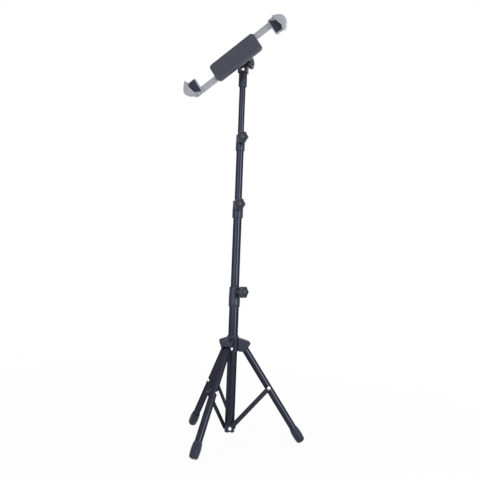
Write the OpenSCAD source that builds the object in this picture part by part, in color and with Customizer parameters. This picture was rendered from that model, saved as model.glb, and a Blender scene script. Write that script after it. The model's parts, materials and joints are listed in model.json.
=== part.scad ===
// Adjustable tablet floor stand: folding tripod, four-section mast and corner-clip holder.
// Millimetres. +Z is up, the origin is on the mast axis at floor level, the holder faces -Y.
// Each leg stands in its own radial plane: local X points outwards, local -Y is its strut's side.

/* [Legs and feet] */
// Length of a leg from its hub pivot to the end of its foot
leg_len = 289; // [270:1:330]
// Outer diameter of a leg tube
leg_d = 18.5; // [15:0.5:19]
// Wall of a leg tube
leg_wall = 1; // [0.8:0.1:1.5]
// Angle of an open leg from the vertical
leg_spread = 33.5; // [28:0.5:36]
// Direction of the first leg seen from above
leg_azimuth = 24.8; // [0:0.1:60]
// Length of leg tube above its hub pivot
leg_over = 9; // [8:0.5:10]
// Length of a rubber foot
foot_len = 40; // [32:1:50]
// Largest diameter of a foot
foot_d = 25; // [22:0.5:28]
// Diameter of a foot at its two ends
foot_end_d = 21; // [20:0.5:21.5]
// Radius of the rounded end of a foot
foot_round = 3; // [2:0.5:4]
// Rubber under the end of the leg tube
foot_floor = 8; // [6:0.5:12]
// Depth of the flat worn under a foot
sole_cut = 0.8; // [0.5:0.1:1.2]
// Width of the tread groove across a foot
tread_w = 2.5; // [1.5:0.5:4]
// Depth of the tread groove
tread_depth = 2; // [1:0.5:3]

/* [Hub] */
// Distance of the leg pivots from the mast axis
hub_pivot_r = 30; // [29:0.5:34]
// Wall of the sliding sleeve
hub_wall = 3.2; // [2.5:0.1:3.4]
// Width of a fork arm
hub_arm_w = 27; // [25:0.5:30]
// Reach of a fork arm beyond the leg pivot
hub_arm_reach = 16; // [15:0.5:20]
// Height of the sleeve above the leg pivots
hub_rise = 31; // [29:0.5:36]
// Depth of the sleeve below the leg pivots
hub_drop = 10; // [9:0.5:14]
// Width of the flared ring at the top of the sleeve
hub_flare = 4.4; // [3.6:0.1:6]
// Radius of the corners of the arms seen from above
hub_corner = 4; // [2:0.5:6]

/* [Struts and rivets] */
// Distance from a hub pivot to the strut pivot along the leg
strut_pivot = 122; // [110:1:130]
// Height of the lower strut pivots above the floor
boss_pivot_z = 36.2; // [34:0.5:45]
// Width of a strut
strut_w = 12; // [10:0.5:14]
// Thickness of a strut
strut_t = 2.6; // [2:0.1:3.2]
// Gap between the base tube and the struts
strut_gap = 0.8; // [0.7:0.1:1.5]
// Width of the pressed rib on a strut
rib_w = 5; // [3:0.5:6]
// Height of the pressed rib
rib_h = 0.8; // [0.4:0.1:1]
// Diameter of a rivet shank
rivet_d = 4; // [3:0.5:5]
// Diameter of a rivet head
rivet_head_d = 9; // [8:0.5:9.5]
// Height of a rivet head
rivet_head_h = 2.2; // [1.5:0.1:2.4]
// Diameter of the spacer bush between leg and strut
spacer_d = 10; // [8:0.5:12]

/* [Lower boss] */
// Diameter of the boss under the base tube
boss_d = 26; // [25.5:0.1:26.4]
// Depth of the boss below its rivets
boss_drop = 11.2; // [10:0.1:13]
// Height of the boss above its rivets
boss_rise = 8.8; // [7:0.1:12]
// Length of the plug inside the base tube
boss_plug_len = 25; // [15:1:30]
// Diameter of the hollow under the boss
boss_hollow_d = 18; // [17:0.5:19]
// Diameter of the post in the middle of the boss
boss_post_d = 9; // [7:0.5:9.5]
// Room beside a rivet in its slot
slot_room = 1.2; // [1:0.1:1.6]

/* [Mast] */
// Outer diameter of the base tube
base_d = 25; // [24:0.5:25]
// Wall of the mast tubes
tube_wall = 1.2; // [1:0.1:1.3]
// Radial gap between one mast tube and the next
tube_gap = 0.3; // [0.2:0.05:0.35]
// Length of the base tube
base_len = 353; // [340:1:400]
// Length of the second tube
tube_2_len = 373; // [360:1:390]
// Length of the third tube
tube_3_len = 370; // [360:1:390]
// Length of the fourth tube
tube_4_len = 370; // [360:1:390]
// Second tube above the base tube as pictured
tube_2_out = 224; // [190:1:240]
// Third tube above the second as pictured
tube_3_out = 173; // [150:1:200]
// Fourth tube above the third as pictured
tube_4_out = 150; // [140:1:180]
// Depth of the plug in the lower end of a tube
plug_len = 14; // [10:1:20]
// Thickness of the plug's flange
plug_flange = 2; // [1.5:0.5:3]

/* [Collars] */
// Height of the lower collar
lower_collar_h = 52; // [44:1:60]
// Height of the middle collar
middle_collar_h = 45; // [40:1:55]
// Height of the upper collar
upper_collar_h = 42; // [40:0.5:55]
// Wall of the lower collar
lower_collar_wall = 2.2; // [2:0.1:3]
// Wall of the middle collar
middle_collar_wall = 3; // [2.2:0.1:3.5]
// Wall of the upper collar
upper_collar_wall = 2.5; // [2:0.1:3]
// Lip of a collar above the end of its tube
collar_lip = 4; // [3:0.5:6]
// Chamfer on the ends of a collar
collar_chamfer = 1.4; // [0.8:0.1:1.8]
// Length of the screw boss on a collar
screw_boss_len = 8; // [7:0.5:11]
// Diameter of the screw boss
screw_boss_d = 15; // [14.5:0.5:17]

/* [Knobs] */
// Diameter of a star knob over its lobes
knob_d = 31; // [28:0.5:32]
// Number of lobes
knob_lobes = 6; // [5:1:8]
// Radius of the scallops between the lobes
knob_scallop = 9; // [8:0.5:10]
// Depth of the scallops
scallop_depth = 1.9; // [1.5:0.1:2.5]
// Thickness of the star
knob_t = 9; // [7:0.5:12]
// Length of the neck behind the star
knob_neck = 5; // [2:0.5:6]
// Height of the domed cap in front of the star
knob_cap = 4; // [2.5:0.5:5]
// Diameter of the domed cap
knob_cap_d = 15; // [14:0.5:18]
// Diameter of the clamp screws
screw_d = 6; // [5:0.5:6]
// Width across the flats of the captive nuts
nut_af = 10; // [9.5:0.5:10.5]
// Thickness of the captive nuts
nut_t = 5; // [4:0.5:6]
// Height of the lower knob below the top of its tube
lower_knob_drop = 8; // [7:0.5:16]
// Height of the middle knob below the top of its tube
middle_knob_drop = 5.5; // [5:0.5:12]
// Height of the upper knob below the top of its tube
upper_knob_drop = 6; // [5:0.5:12]
// Direction of the lower knob seen from above
lower_knob_azimuth = -26.3; // [-45:0.1:0]
// Direction of the middle knob seen from above
middle_knob_azimuth = -63.3; // [-80:0.1:-40]
// Direction of the upper knob seen from above
upper_knob_azimuth = -61.3; // [-80:0.1:-40]

/* [Swivel and tilt] */
// Height of the tilt axis above the top of the mast
tilt_rise = 41; // [38:0.5:50]
// Diameter of the socket on the mast top
socket_d = 22; // [21:0.5:26]
// Length of the socket over the tube
socket_grip = 20; // [15:1:24]
// Height of the socket above the tube
socket_rise = 15; // [13:0.5:16]
// Diameter of the swivel spigot
spigot_d = 10; // [9:0.5:11]
// Width of the tilt knuckle
knuckle_w = 12.4; // [10:0.2:14]
// Diameter of the tilt knuckle
knuckle_d = 22; // [20:0.5:23]
// Thickness of a fork cheek
cheek_t = 5; // [4:0.5:6]
// Thickness of the fork's foot
fork_foot_t = 5.7; // [4:0.1:6]
// Height of the neck between knuckle and turntable
neck_h = 18; // [14:0.5:20]
// Diameter of the turntable
turntable_d = 40; // [36:1:46]
// Thickness of the turntable
turntable_t = 9; // [8.5:0.5:10]
// Thickness of the plate that the turntable turns on
neck_plate_t = 4; // [3:0.5:5]
// Diameter of the pivot screw's shoulder
pivot_d = 8; // [7:0.5:9]
// Diameter of the pivot screw's head
pivot_head_d = 14; // [12:0.5:15]
// Thickness of the pivot screw's head
pivot_head_t = 3; // [2.5:0.5:3]

/* [Holder] */
// Distance from the mast axis to the back of a held device
holder_reach = 68; // [66:0.5:75]
// Width of the device that the clips are set to
device_w = 250.6; // [235:0.2:265]
// Height of the device that the clips are set to
device_h = 174.2; // [165:0.2:190]
// Depth of the slot for the device
device_t = 7.5; // [6.5:0.5:10]
// Length of the holder housing along the diagonal
housing_len = 140; // [130:1:146]
// Walls of the housing in front of and behind the arms
housing_wall = 4.2; // [4.2:0.1:5]
// Side walls of the housing
housing_side = 4; // [3:0.5:6]
// Rib between the two arms
housing_rib = 8; // [7:0.5:10]
// Corner radius of the housing
housing_corner = 9; // [6:0.5:12]
// Width of a sliding arm
arm_w = 16; // [14:0.5:18]
// Thickness of a sliding arm
arm_t = 6; // [5:0.5:7]
// Inner end of an arm from the middle of the housing
arm_start = 10; // [6:1:16]
// Diameter of the tension springs
spring_d = 5; // [4:0.5:5.5]
// Wire of the tension springs
spring_wire = 0.8; // [0.6:0.1:1]
// Thickness of the end wall behind each spring
spring_wall = 10; // [8:0.5:12]

/* [Corner clips] */
// Wall of a clip outside the device
clip_wall = 8; // [6:0.5:10]
// Length of a clip along the top or bottom edge
clip_wing_x = 28; // [24:1:34]
// Length of a clip along the side edge
clip_wing_z = 31; // [26:1:36]
// Slant at the tips of the wings
clip_tip = 6; // [3:0.5:8]
// Outer corner radius of a clip
clip_corner = 13; // [10:0.5:15]
// Reach of the front lip along the top or bottom edge
lip_x = 22; // [18:1:24]
// Reach of the front lip along the side edge
lip_z = 19; // [16:1:24]
// Thickness of the front lip
lip_t = 4; // [3:0.5:6]
// Thickness of the plate behind the device
plate_t = 7; // [6:0.5:8]
// Length of the plate along the diagonal
plate_len = 36; // [34:1:38]
// Width of the plate across the diagonal
plate_w = 44; // [42:1:50]
// Thickness of the rubber pad
pad_t = 1.5; // [1:0.1:2]
// Margin of bare plate around the pad
pad_margin = 3; // [2:0.5:5]

/* [Clearances] */
// Radial gap of a turning shaft in its bore
run_gap = 0.06; // [0.03:0.01:0.1]
// Gap between fixed pieces that fit together
fit_gap = 0.05; // [0.02:0.01:0.1]
// Gap between flat faces that slide or turn
face_gap = 0.3; // [0.2:0.05:0.4]
// Gap between a moving screw or tube end and what it faces
free_gap = 0.5; // [0.4:0.1:0.8]

/* [Hidden] */
$fn = 64;
far = 400;
// Overrun of a cut past the face that it opens
cut = 1;
leg_count = 3;
legs = [0 : leg_count - 1];

// Leg frame and the open linkage
foot_edge_r = foot_end_d / 2 - foot_round;
pivot_z = (leg_len - foot_round) * cos(leg_spread) + foot_edge_r * sin(leg_spread)
        + foot_round - sole_cut;
mid_r = hub_pivot_r + strut_pivot * sin(leg_spread);
mid_z = pivot_z - strut_pivot * cos(leg_spread);
strut_len = norm([mid_r, mid_z - boss_pivot_z]);
strut_angle = atan2(mid_r, mid_z - boss_pivot_z);
strut_in = base_d / 2 + strut_gap;
strut_out = strut_in + strut_t;
foot_start = leg_len - foot_len;
foot_bulge = (foot_d - foot_end_d) / 2;
foot_arc = (foot_len * foot_len / 4 + foot_bulge * foot_bulge) / (2 * foot_bulge);

// Hub
hub_bore_r = base_d / 2 + tube_gap;
hub_r = hub_bore_r + hub_wall;
fork_gap = leg_d / 2 + face_gap;
swing_r = norm([leg_over, leg_d / 2]) + free_gap;
rivet_blind = (hub_arm_w / 2 + fork_gap) / 2;
ear_r = 8;
roof_angle = 20;
arm_root = 3;
arm_shoulder = 5;
arm_bevel = 4;
nose_rise = 3;
nose_drop = 1;
belly = 2;
flare_start = 9;
flare_peak = 6.5;
flare_rim = 1;

// Rivets
dimple_d = 3;
dimple_depth = 0.8;
saddle = 2;
saddle_rise = 0.5;
tail_t = 1.2;
tail_d = 7;

// Knobs, screws and nuts
scallop_out = knob_scallop - scallop_depth;
knob_edge = 2;
knob_neck_d = 14;
knob_end_wall = 3;
knob_bore = knob_neck + knob_t - knob_end_wall;
nut_r = nut_af / 2 / cos(30);
bolt_head_t = 4;
set_screw_d = 3;
set_screw_out = 0.5;
hex_r = 0.9;
hex_depth = 1.5;

// Mast stations
tube_step = tube_wall + tube_gap;
tube_2_d = base_d - 2 * tube_step;
tube_3_d = tube_2_d - 2 * tube_step;
tube_4_d = tube_3_d - 2 * tube_step;
base_z = boss_pivot_z + boss_rise;
base_top = base_z + base_len;
tube_2_top = base_top + tube_2_out;
tube_3_top = tube_2_top + tube_3_out;
tube_4_top = tube_3_top + tube_4_out;
screw_hole_r = screw_d / 2 + face_gap;

// Head, from the mast axis towards the device
socket_top = tube_4_top + socket_rise;
fork_z = socket_top + face_gap;
tilt_z = tube_4_top + tilt_rise;
knuckle_r = knuckle_d / 2;
fork_in = knuckle_w / 2 + face_gap;
fork_out = fork_in + cheek_t;
groove_depth = 1.5;
groove_w = 4;
socket_floor = 2;
socket_chamfer = 1;
spigot_len = socket_rise - socket_floor;
groove_z = socket_top - spigot_len / 2;
neck_plate_d = 36;
pivot_bite = 8;
plate_front = -holder_reach + pad_t;
arm_front = plate_front + plate_t;
arm_back = arm_front + arm_t;
lane_front = arm_front - face_gap;
lane_back = arm_back + face_gap;
housing_front = lane_front - housing_wall;
housing_back = lane_back + housing_wall;
parting = (lane_front + lane_back) / 2;
turntable_back = housing_back + turntable_t;
neck_front = turntable_back + face_gap;
pivot_head_front = lane_back + face_gap;
pivot_head_back = pivot_head_front + pivot_head_t;
pivot_end = neck_front + neck_plate_t + pivot_bite;

// Holder layout along and across the diagonal
diagonal = atan2(device_h, device_w);
half_diagonal = norm([device_w, device_h]) / 2;
lane_w = arm_w + 2 * face_gap;
lane_p = (lane_w + housing_rib) / 2;
housing_w = 2 * lane_w + housing_rib + 2 * housing_side;
arm_short = 8;
arm_end = half_diagonal - arm_short;
clip_screw_d = 4;
clip_screw_head_d = 7;
clip_screw_head_t = 2.4;
clip_screw_bite = 5;
clip_screw_step = 14;
clip_screw_s = [half_diagonal - 2 * clip_screw_step, half_diagonal - clip_screw_step];
tip_edge = 2;
shell_screw_d = 3;
shell_screw_head_d = 5.6;
shell_screw_head_t = 1.8;
shell_screw_bite = 4;
spring_end = housing_len / 2 - spring_wall;
shell_screw_s = 40;
shell_end_s = spring_end + spring_wall / 2;
shell_screws = [[-shell_screw_s, 0], [shell_screw_s, 0], [-shell_end_s, lane_p], [shell_end_s, -lane_p]];

// Places

module at_leg(i) rotate([0, 0, leg_azimuth + 360 / leg_count * i]) children();

// Along a leg: the hub pivot is the origin and the foot lies towards -Z
module along_leg(i) at_leg(i) translate([hub_pivot_r, 0, pivot_z]) rotate([0, -leg_spread, 0])
    children();

// Along a strut: the boss pivot is the origin and the leg pivot lies towards +Z
module along_strut(i) at_leg(i) translate([0, 0, boss_pivot_z]) rotate([0, strut_angle, 0])
    children();

// Along a knob's screw: +Z runs outwards from the mast axis
module along_screw(z, azimuth) translate([0, 0, z]) rotate([0, 90, azimuth]) children();

// Along the tilt axis: +Z runs to the right
module along_tilt() translate([0, 0, tilt_z]) rotate([0, 90, 0]) children();

// Flat drawing seen from the front of the holder, given depth between two planes along Y
module slab(y0, y1) translate([0, y1, tilt_z]) rotate([90, 0, 0])
    linear_extrude(y1 - y0) children();

// Half a turn about the middle of the holder, from the upper clip to the lower one
module turned(half) translate([0, 0, tilt_z]) rotate([0, 180 * half, 0]) translate([0, 0, -tilt_z])
    children();

// Rod along Y between two planes, at a place in the holder's front view
module rod_y(x, z, y0, y1, d) translate([x, y1, tilt_z + z]) rotate([90, 0, 0])
    cylinder(d = d, h = y1 - y0);

// Point on the front view from a distance along the diagonal and one across it
function on_diagonal(s, p) = [s * cos(diagonal) - p * sin(diagonal),
                              s * sin(diagonal) + p * cos(diagonal)];

// Shared shapes

module tube(d, wall, length) difference() {
    cylinder(d = d, h = length);
    translate([0, 0, -cut]) cylinder(d = d - 2 * wall, h = length + 2 * cut);
}

// Domed rivet head on the plane z = 0, with the dimple of a tubular rivet
module rivet_head() {
    dome_r = (rivet_head_d * rivet_head_d / 4 + rivet_head_h * rivet_head_h) / (2 * rivet_head_h);
    difference() {
        intersection() {
            translate([0, 0, rivet_head_h - dome_r]) sphere(r = dome_r);
            cylinder(d = rivet_head_d, h = rivet_head_h);
        }
        translate([0, 0, rivet_head_h - dimple_depth])
            cylinder(d1 = dimple_d / 2, d2 = dimple_d, h = dimple_depth);
    }
}

module star_2d() difference() {
    circle(d = knob_d);
    for (k = [0 : knob_lobes - 1])
        rotate(360 / knob_lobes * k) translate([knob_d / 2 + scallop_out, 0])
            circle(r = knob_scallop);
}

// Star knob on +Z, with its neck starting at z = 0 and a bore for its screw
module star_knob(bore_r) {
    star_end = knob_neck + knob_t;
    star_r = knob_d / 2;
    cap_r = (knob_cap_d * knob_cap_d / 4 + knob_cap * knob_cap) / (2 * knob_cap);
    difference() {
        union() {
            cylinder(d = knob_neck_d, h = knob_neck);
            translate([0, 0, knob_neck]) intersection() {
                linear_extrude(knob_t) star_2d();
                rotate_extrude() polygon([
                    [0, 0], [star_r - knob_edge, 0], [star_r, knob_edge],
                    [star_r, knob_t - knob_edge], [star_r - knob_edge, knob_t], [0, knob_t]]);
            }
            intersection() {
                translate([0, 0, star_end + knob_cap - cap_r]) sphere(r = cap_r);
                translate([0, 0, star_end]) cylinder(d = knob_cap_d, h = knob_cap);
            }
        }
        translate([0, 0, -cut]) cylinder(r = bore_r, h = knob_bore + cut);
    }
}

// Tripod

module base_tube() color("#20232a") difference() {
    translate([0, 0, base_z]) tube(base_d, tube_wall, base_len);
    along_screw(base_top - lower_knob_drop, lower_knob_azimuth)
        cylinder(r = screw_hole_r, h = base_d);
}

module boss() color("#1b1c20") difference() {
    union() {
        translate([0, 0, boss_pivot_z - boss_drop]) cylinder(d = boss_d, h = boss_drop + boss_rise);
        translate([0, 0, base_z]) cylinder(r = base_d / 2 - tube_wall - fit_gap, h = boss_plug_len);
    }
    translate([0, 0, boss_pivot_z - boss_drop - cut]) difference() {
        cylinder(d = boss_hollow_d, h = boss_drop + rivet_head_d / 2 + free_gap + cut);
        cylinder(d = boss_post_d, h = boss_drop + rivet_head_d / 2 + free_gap + cut);
    }
    for (i = legs) at_leg(i) translate([0, -boss_post_d / 2 - free_gap, boss_pivot_z]) {
        rotate([90, 0, 0]) cylinder(r = rivet_d / 2 + slot_room, h = boss_d);
        translate([-rivet_d / 2 - slot_room, -boss_d, -boss_drop - cut])
            cube([rivet_d + 2 * slot_room, boss_d, boss_drop + cut]);
    }
}

// Side view of a fork arm, drawn from the leg pivot
module arm_side_2d() {
    inner = hub_r - arm_root - hub_pivot_r;
    outer = hub_arm_reach - arm_bevel;
    top_in = hub_rise - arm_shoulder;
    top_out = top_in - (hub_arm_reach - inner) * tan(roof_angle);
    polygon([[inner, -hub_drop + arm_bevel], [inner, top_in], [outer, top_out + nose_rise],
             [hub_arm_reach, top_out - nose_drop], [outer, arm_bevel], [-belly, -hub_drop],
             [inner + arm_bevel, -hub_drop]]);
    circle(r = ear_r);
}

// Plan of a fork arm with rounded outer corners
module arm_plan_2d() {
    end = hub_pivot_r + hub_arm_reach;
    translate([0, -hub_arm_w / 2]) square([end - hub_corner, hub_arm_w]);
    translate([0, -hub_arm_w / 2 + hub_corner]) square([end, hub_arm_w - 2 * hub_corner]);
    for (side = [-1, 1]) translate([end - hub_corner, side * (hub_arm_w / 2 - hub_corner)])
        circle(r = hub_corner);
}

// Room for a leg to swing from its open place to straight down, in the side view
module leg_swing_2d() {
    half = leg_d / 2 + free_gap;
    circle(r = swing_r);
    for (a = [0, leg_spread]) rotate(a) translate([-half, -far]) square([2 * half, far]);
    polygon([[0, 0], [0, -far], [far * sin(leg_spread), -far * cos(leg_spread)]]);
}

module hub_arm() difference() {
    intersection() {
        translate([hub_pivot_r, hub_arm_w / 2, pivot_z]) rotate([90, 0, 0])
            linear_extrude(hub_arm_w) arm_side_2d();
        linear_extrude(far) arm_plan_2d();
    }
    translate([hub_pivot_r, fork_gap, pivot_z]) rotate([90, 0, 0])
        linear_extrude(2 * fork_gap) leg_swing_2d();
    translate([hub_pivot_r, hub_arm_w, pivot_z]) rotate([90, 0, 0])
        cylinder(r = rivet_d / 2 + fit_gap, h = hub_arm_w + rivet_blind);
}

module hub() color("#25262b") difference() {
    union() {
        translate([0, 0, pivot_z]) rotate_extrude() polygon([
            [0, -hub_drop], [hub_r, -hub_drop], [hub_r, hub_rise - flare_start],
            [hub_bore_r + hub_flare, hub_rise - flare_peak], [hub_bore_r + flare_rim, hub_rise],
            [0, hub_rise]]);
        for (i = legs) at_leg(i) hub_arm();
    }
    cylinder(r = hub_bore_r, h = far);
}

// Pins through the forks, with their heads on the side away from the struts
module hub_rivets() color("#c8ccd2") for (i = legs) at_leg(i) translate([hub_pivot_r, 0, pivot_z]) {
    translate([0, hub_arm_w / 2, 0]) rotate([90, 0, 0])
        cylinder(d = rivet_d, h = hub_arm_w / 2 + rivet_blind - fit_gap);
    translate([0, hub_arm_w / 2, 0]) rotate([-90, 0, 0]) rivet_head();
}

module leg(i) color("#20232a") along_leg(i) difference() {
    translate([0, 0, -leg_len + foot_floor]) tube(leg_d, leg_wall, leg_len - foot_floor + leg_over);
    rotate([90, 0, 0]) cylinder(r = rivet_d / 2 + run_gap, h = 2 * leg_d, center = true);
    translate([0, 0, -strut_pivot]) rotate([90, 0, 0])
        cylinder(r = rivet_d / 2 + fit_gap, h = 2 * leg_d, center = true);
}

// Half section of a foot: barrel, rounded end and bore for the leg tube
module foot_2d() difference() {
    intersection() {
        translate([0, -leg_len]) square([foot_d / 2, foot_len]);
        translate([foot_d / 2 - foot_arc, -leg_len + foot_len / 2]) circle(r = foot_arc, $fn = 180);
        union() {
            translate([0, -leg_len + foot_round]) square([foot_d / 2, foot_len]);
            translate([0, -leg_len]) square([foot_edge_r, foot_round]);
            translate([foot_edge_r, -leg_len + foot_round]) circle(r = foot_round);
        }
    }
    translate([0, -leg_len + foot_floor]) square([leg_d / 2 + fit_gap, foot_len]);
}

module foot(i) color("#26272b") difference() {
    along_leg(i) difference() {
        rotate_extrude() foot_2d();
        translate([-foot_d, -tread_w / 2, -leg_len - cut])
            cube([2 * foot_d, tread_w, tread_depth + cut]);
    }
    at_leg(i) translate([0, -foot_d, -foot_d]) cube([far, 2 * foot_d, foot_d]);
}

module strut(i) color("#24262c") along_strut(i) difference() {
    union() {
        for (z = [0, strut_len]) translate([0, -strut_in, z]) rotate([90, 0, 0])
            cylinder(d = strut_w, h = strut_t);
        translate([-strut_w / 2, -strut_out, 0]) cube([strut_w, strut_t, strut_len]);
        translate([-rib_w / 2, -strut_out - rib_h, strut_w])
            cube([rib_w, rib_h, strut_len - 2 * strut_w]);
        for (z = [strut_w, strut_len - strut_w]) translate([0, -strut_out, z]) rotate([90, 0, 0])
            cylinder(d = rib_w, h = rib_h);
    }
    rotate([90, 0, 0]) cylinder(r = rivet_d / 2 + fit_gap, h = 2 * strut_out);
    translate([0, 0, strut_len]) rotate([90, 0, 0])
        cylinder(r = rivet_d / 2 + run_gap, h = 2 * strut_out);
}

module spacer(i) color("#1b1c20") along_leg(i) difference() {
    translate([0, 0, -strut_pivot]) rotate([90, 0, 0])
        cylinder(d = spacer_d, h = strut_in - face_gap);
    translate([0, 0, -leg_len]) cylinder(r = leg_d / 2 + fit_gap, h = leg_len);
    translate([0, 0, -strut_pivot]) rotate([90, 0, 0])
        cylinder(r = rivet_d / 2 + fit_gap, h = 2 * strut_out);
}

// Rivet through leg, spacer and strut, with a head shaped to the leg
module leg_rivet(i) color("#c8ccd2") along_leg(i) translate([0, 0, -strut_pivot]) {
    head = strut_out + face_gap;
    tail = leg_d / 2 + saddle_rise;
    translate([0, tail, 0]) rotate([90, 0, 0]) cylinder(d = rivet_d, h = tail + head);
    translate([0, -head, 0]) rotate([90, 0, 0]) rivet_head();
    translate([0, tail, 0]) rotate([-90, 0, 0]) rivet_head();
    difference() {
        translate([0, tail, 0]) rotate([90, 0, 0]) cylinder(d = rivet_head_d, h = saddle);
        cylinder(r = leg_d / 2 + fit_gap, h = leg_d, center = true);
    }
}

module boss_rivet(i) color("#c8ccd2") at_leg(i) translate([0, 0, boss_pivot_z]) {
    hollow_half = sqrt(boss_hollow_d * boss_hollow_d - rivet_head_d * rivet_head_d) / 2;
    tail_y = hollow_half - tail_t - 2 * free_gap;
    translate([0, -tail_y, 0]) rotate([90, 0, 0]) cylinder(d = rivet_d, h = strut_out - tail_y);
    translate([0, -tail_y, 0]) rotate([90, 0, 0]) cylinder(d = tail_d, h = tail_t);
    translate([0, -strut_out, 0]) rotate([90, 0, 0]) rivet_head();
}

// Mast

module mast_tube(d, length, top, hole_drop, azimuth) color("#20232a") difference() {
    translate([0, 0, top - length]) tube(d, tube_wall, length);
    if (hole_drop > 0) along_screw(top - hole_drop, azimuth) cylinder(r = screw_hole_r, h = d);
}

module tube_plug(d, length, top) color("#2c2d31") {
    translate([0, 0, top - length]) cylinder(r = d / 2 - tube_wall - fit_gap, h = plug_len);
    translate([0, 0, top - length - plug_flange]) cylinder(d = d, h = plug_flange);
}

// Collar over the end of an outer tube, with the boss for its screw and the pocket for its nut
module collar(d, inner_d, wall, height, top, drop, azimuth) color("#1d1e22") difference() {
    r = d / 2 + wall;
    z0 = top + collar_lip - height;
    c = collar_chamfer;
    union() {
        translate([0, 0, z0]) rotate_extrude() polygon([
            [0, 0], [r - c, 0], [r, c], [r, height - c], [r - c, height], [0, height]]);
        along_screw(top - drop, azimuth) cylinder(d = screw_boss_d, h = r + screw_boss_len);
    }
    translate([0, 0, z0 - cut]) cylinder(r = d / 2 + fit_gap, h = top - z0 + cut);
    cylinder(r = inner_d / 2 + tube_gap, h = top + 2 * collar_lip);
    along_screw(top - drop, azimuth) cylinder(r = screw_hole_r, h = d + far);
    along_screw(top - drop, azimuth) translate([0, 0, r + screw_boss_len - nut_t - fit_gap])
        cylinder(r = nut_r + fit_gap, h = far, $fn = 6);
}

// Where a collar's screw boss ends, measured from the mast axis
function boss_end(d, wall) = d / 2 + wall + screw_boss_len;

module clamp_knob(d, wall, z, azimuth) color("#17181b")
    along_screw(z, azimuth) translate([0, 0, boss_end(d, wall) + free_gap])
        star_knob(screw_d / 2 + fit_gap);

module clamp_screw(d, inner_d, wall, z, azimuth) color("#8d9198") along_screw(z, azimuth) {
    tip = inner_d / 2 + face_gap;
    end = boss_end(d, wall) + free_gap + knob_bore - fit_gap;
    translate([0, 0, tip]) cylinder(d = screw_d, h = end - tip);
}

module clamp_nut(d, wall, z, azimuth) color("#9a9ea5") along_screw(z, azimuth)
    translate([0, 0, boss_end(d, wall) - nut_t]) difference() {
        cylinder(r = nut_r, h = nut_t, $fn = 6);
        translate([0, 0, -cut]) cylinder(r = screw_d / 2 + run_gap, h = nut_t + 2 * cut);
    }

// Head

module top_socket() color("#1d1e22") difference() {
    r = socket_d / 2;
    height = socket_grip + socket_rise;
    c = socket_chamfer;
    translate([0, 0, tube_4_top - socket_grip]) rotate_extrude() polygon([
        [0, 0], [r - c, 0], [r, c], [r, height - c], [r - c, height], [0, height]]);
    translate([0, 0, tube_4_top - socket_grip - cut])
        cylinder(r = tube_4_d / 2 + fit_gap, h = socket_grip + cut);
    translate([0, 0, tube_4_top]) cylinder(r = spigot_d / 2 + run_gap, h = far);
    translate([0, 0, groove_z]) rotate([-90, 0, 0])
        cylinder(d = set_screw_d + 2 * fit_gap, h = socket_d);
}

// Set screw that runs in the groove of the spigot
module socket_screw() color("#8d9198") translate([0, 0, groove_z]) rotate([-90, 0, 0]) difference() {
    start = spigot_d / 2 - groove_depth + free_gap;
    end = socket_d / 2 + set_screw_out;
    translate([0, 0, start]) cylinder(d = set_screw_d, h = end - start);
    translate([0, 0, end - hex_depth]) cylinder(r = hex_r, h = hex_depth + cut, $fn = 6);
}

// Side view of a fork cheek: round at the tilt axis and straight down to the foot
module cheek_2d() {
    circle(r = knuckle_r);
    translate([-knuckle_r, fork_z - tilt_z]) square([2 * knuckle_r, tilt_z - fork_z]);
}

module swivel_fork() color("#202126") difference() {
    union() {
        translate([0, 0, fork_z]) cylinder(d = socket_d, h = fork_foot_t);
        translate([0, 0, fork_z - spigot_len]) cylinder(d = spigot_d, h = spigot_len + cut);
        for (x = [fork_in, -fork_out]) translate([x, 0, tilt_z]) rotate([90, 0, 90])
            linear_extrude(cheek_t) cheek_2d();
    }
    along_tilt() cylinder(r = screw_d / 2 + fit_gap, h = 4 * fork_out, center = true);
    translate([0, 0, groove_z - groove_w / 2])
        tube(2 * spigot_d, spigot_d / 2 + groove_depth, groove_w);
}

module tilt_knuckle() color("#202126") difference() {
    union() {
        along_tilt() cylinder(d = knuckle_d, h = knuckle_w, center = true);
        translate([-knuckle_w / 2, neck_front, tilt_z - neck_h / 2])
            cube([knuckle_w, -neck_front, neck_h]);
        rod_y(0, 0, neck_front, neck_front + neck_plate_t, neck_plate_d);
    }
    along_tilt() cylinder(r = screw_d / 2 + run_gap, h = 4 * knuckle_w, center = true);
    rod_y(0, 0, neck_front - cut, pivot_end + fit_gap, screw_d + 2 * fit_gap);
}

module tilt_bolt() color("#8d9198") along_tilt() {
    translate([0, 0, -fork_out - bolt_head_t]) cylinder(r = nut_r, h = bolt_head_t, $fn = 6);
    translate([0, 0, -fork_out]) cylinder(d = screw_d, h = 2 * fork_out + knob_bore);
}

module tilt_knob() color("#17181b") along_tilt() translate([0, 0, fork_out + free_gap])
    star_knob(screw_d / 2 + run_gap);

// Shoulder screw of the turntable, screwed into the neck
module pivot_screw() color("#8d9198") {
    rod_y(0, 0, pivot_head_front, pivot_head_back, pivot_head_d);
    rod_y(0, 0, pivot_head_front, neck_front, pivot_d);
    rod_y(0, 0, pivot_head_front, pivot_end, screw_d);
}

// Holder

module housing_2d() rotate(diagonal) {
    square([housing_len - 2 * housing_corner, housing_w], center = true);
    square([housing_len, housing_w - 2 * housing_corner], center = true);
    for (s = [-1, 1], p = [-1, 1])
        translate([s * (housing_len / 2 - housing_corner), p * (housing_w / 2 - housing_corner)])
            circle(r = housing_corner);
}

// The two lanes: each holds an arm and its spring, and opens at the arm's end
module lanes_2d() rotate(diagonal) for (half = [0, 1]) rotate(180 * half)
    translate([-spring_end, lane_p - lane_w / 2]) square([far, lane_w]);

module shell_screw_holes(y0, y1, d) for (q = shell_screws) {
    place = on_diagonal(q[0], q[1]);
    rod_y(place[0], place[1], y0, y1, d);
}

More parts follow.
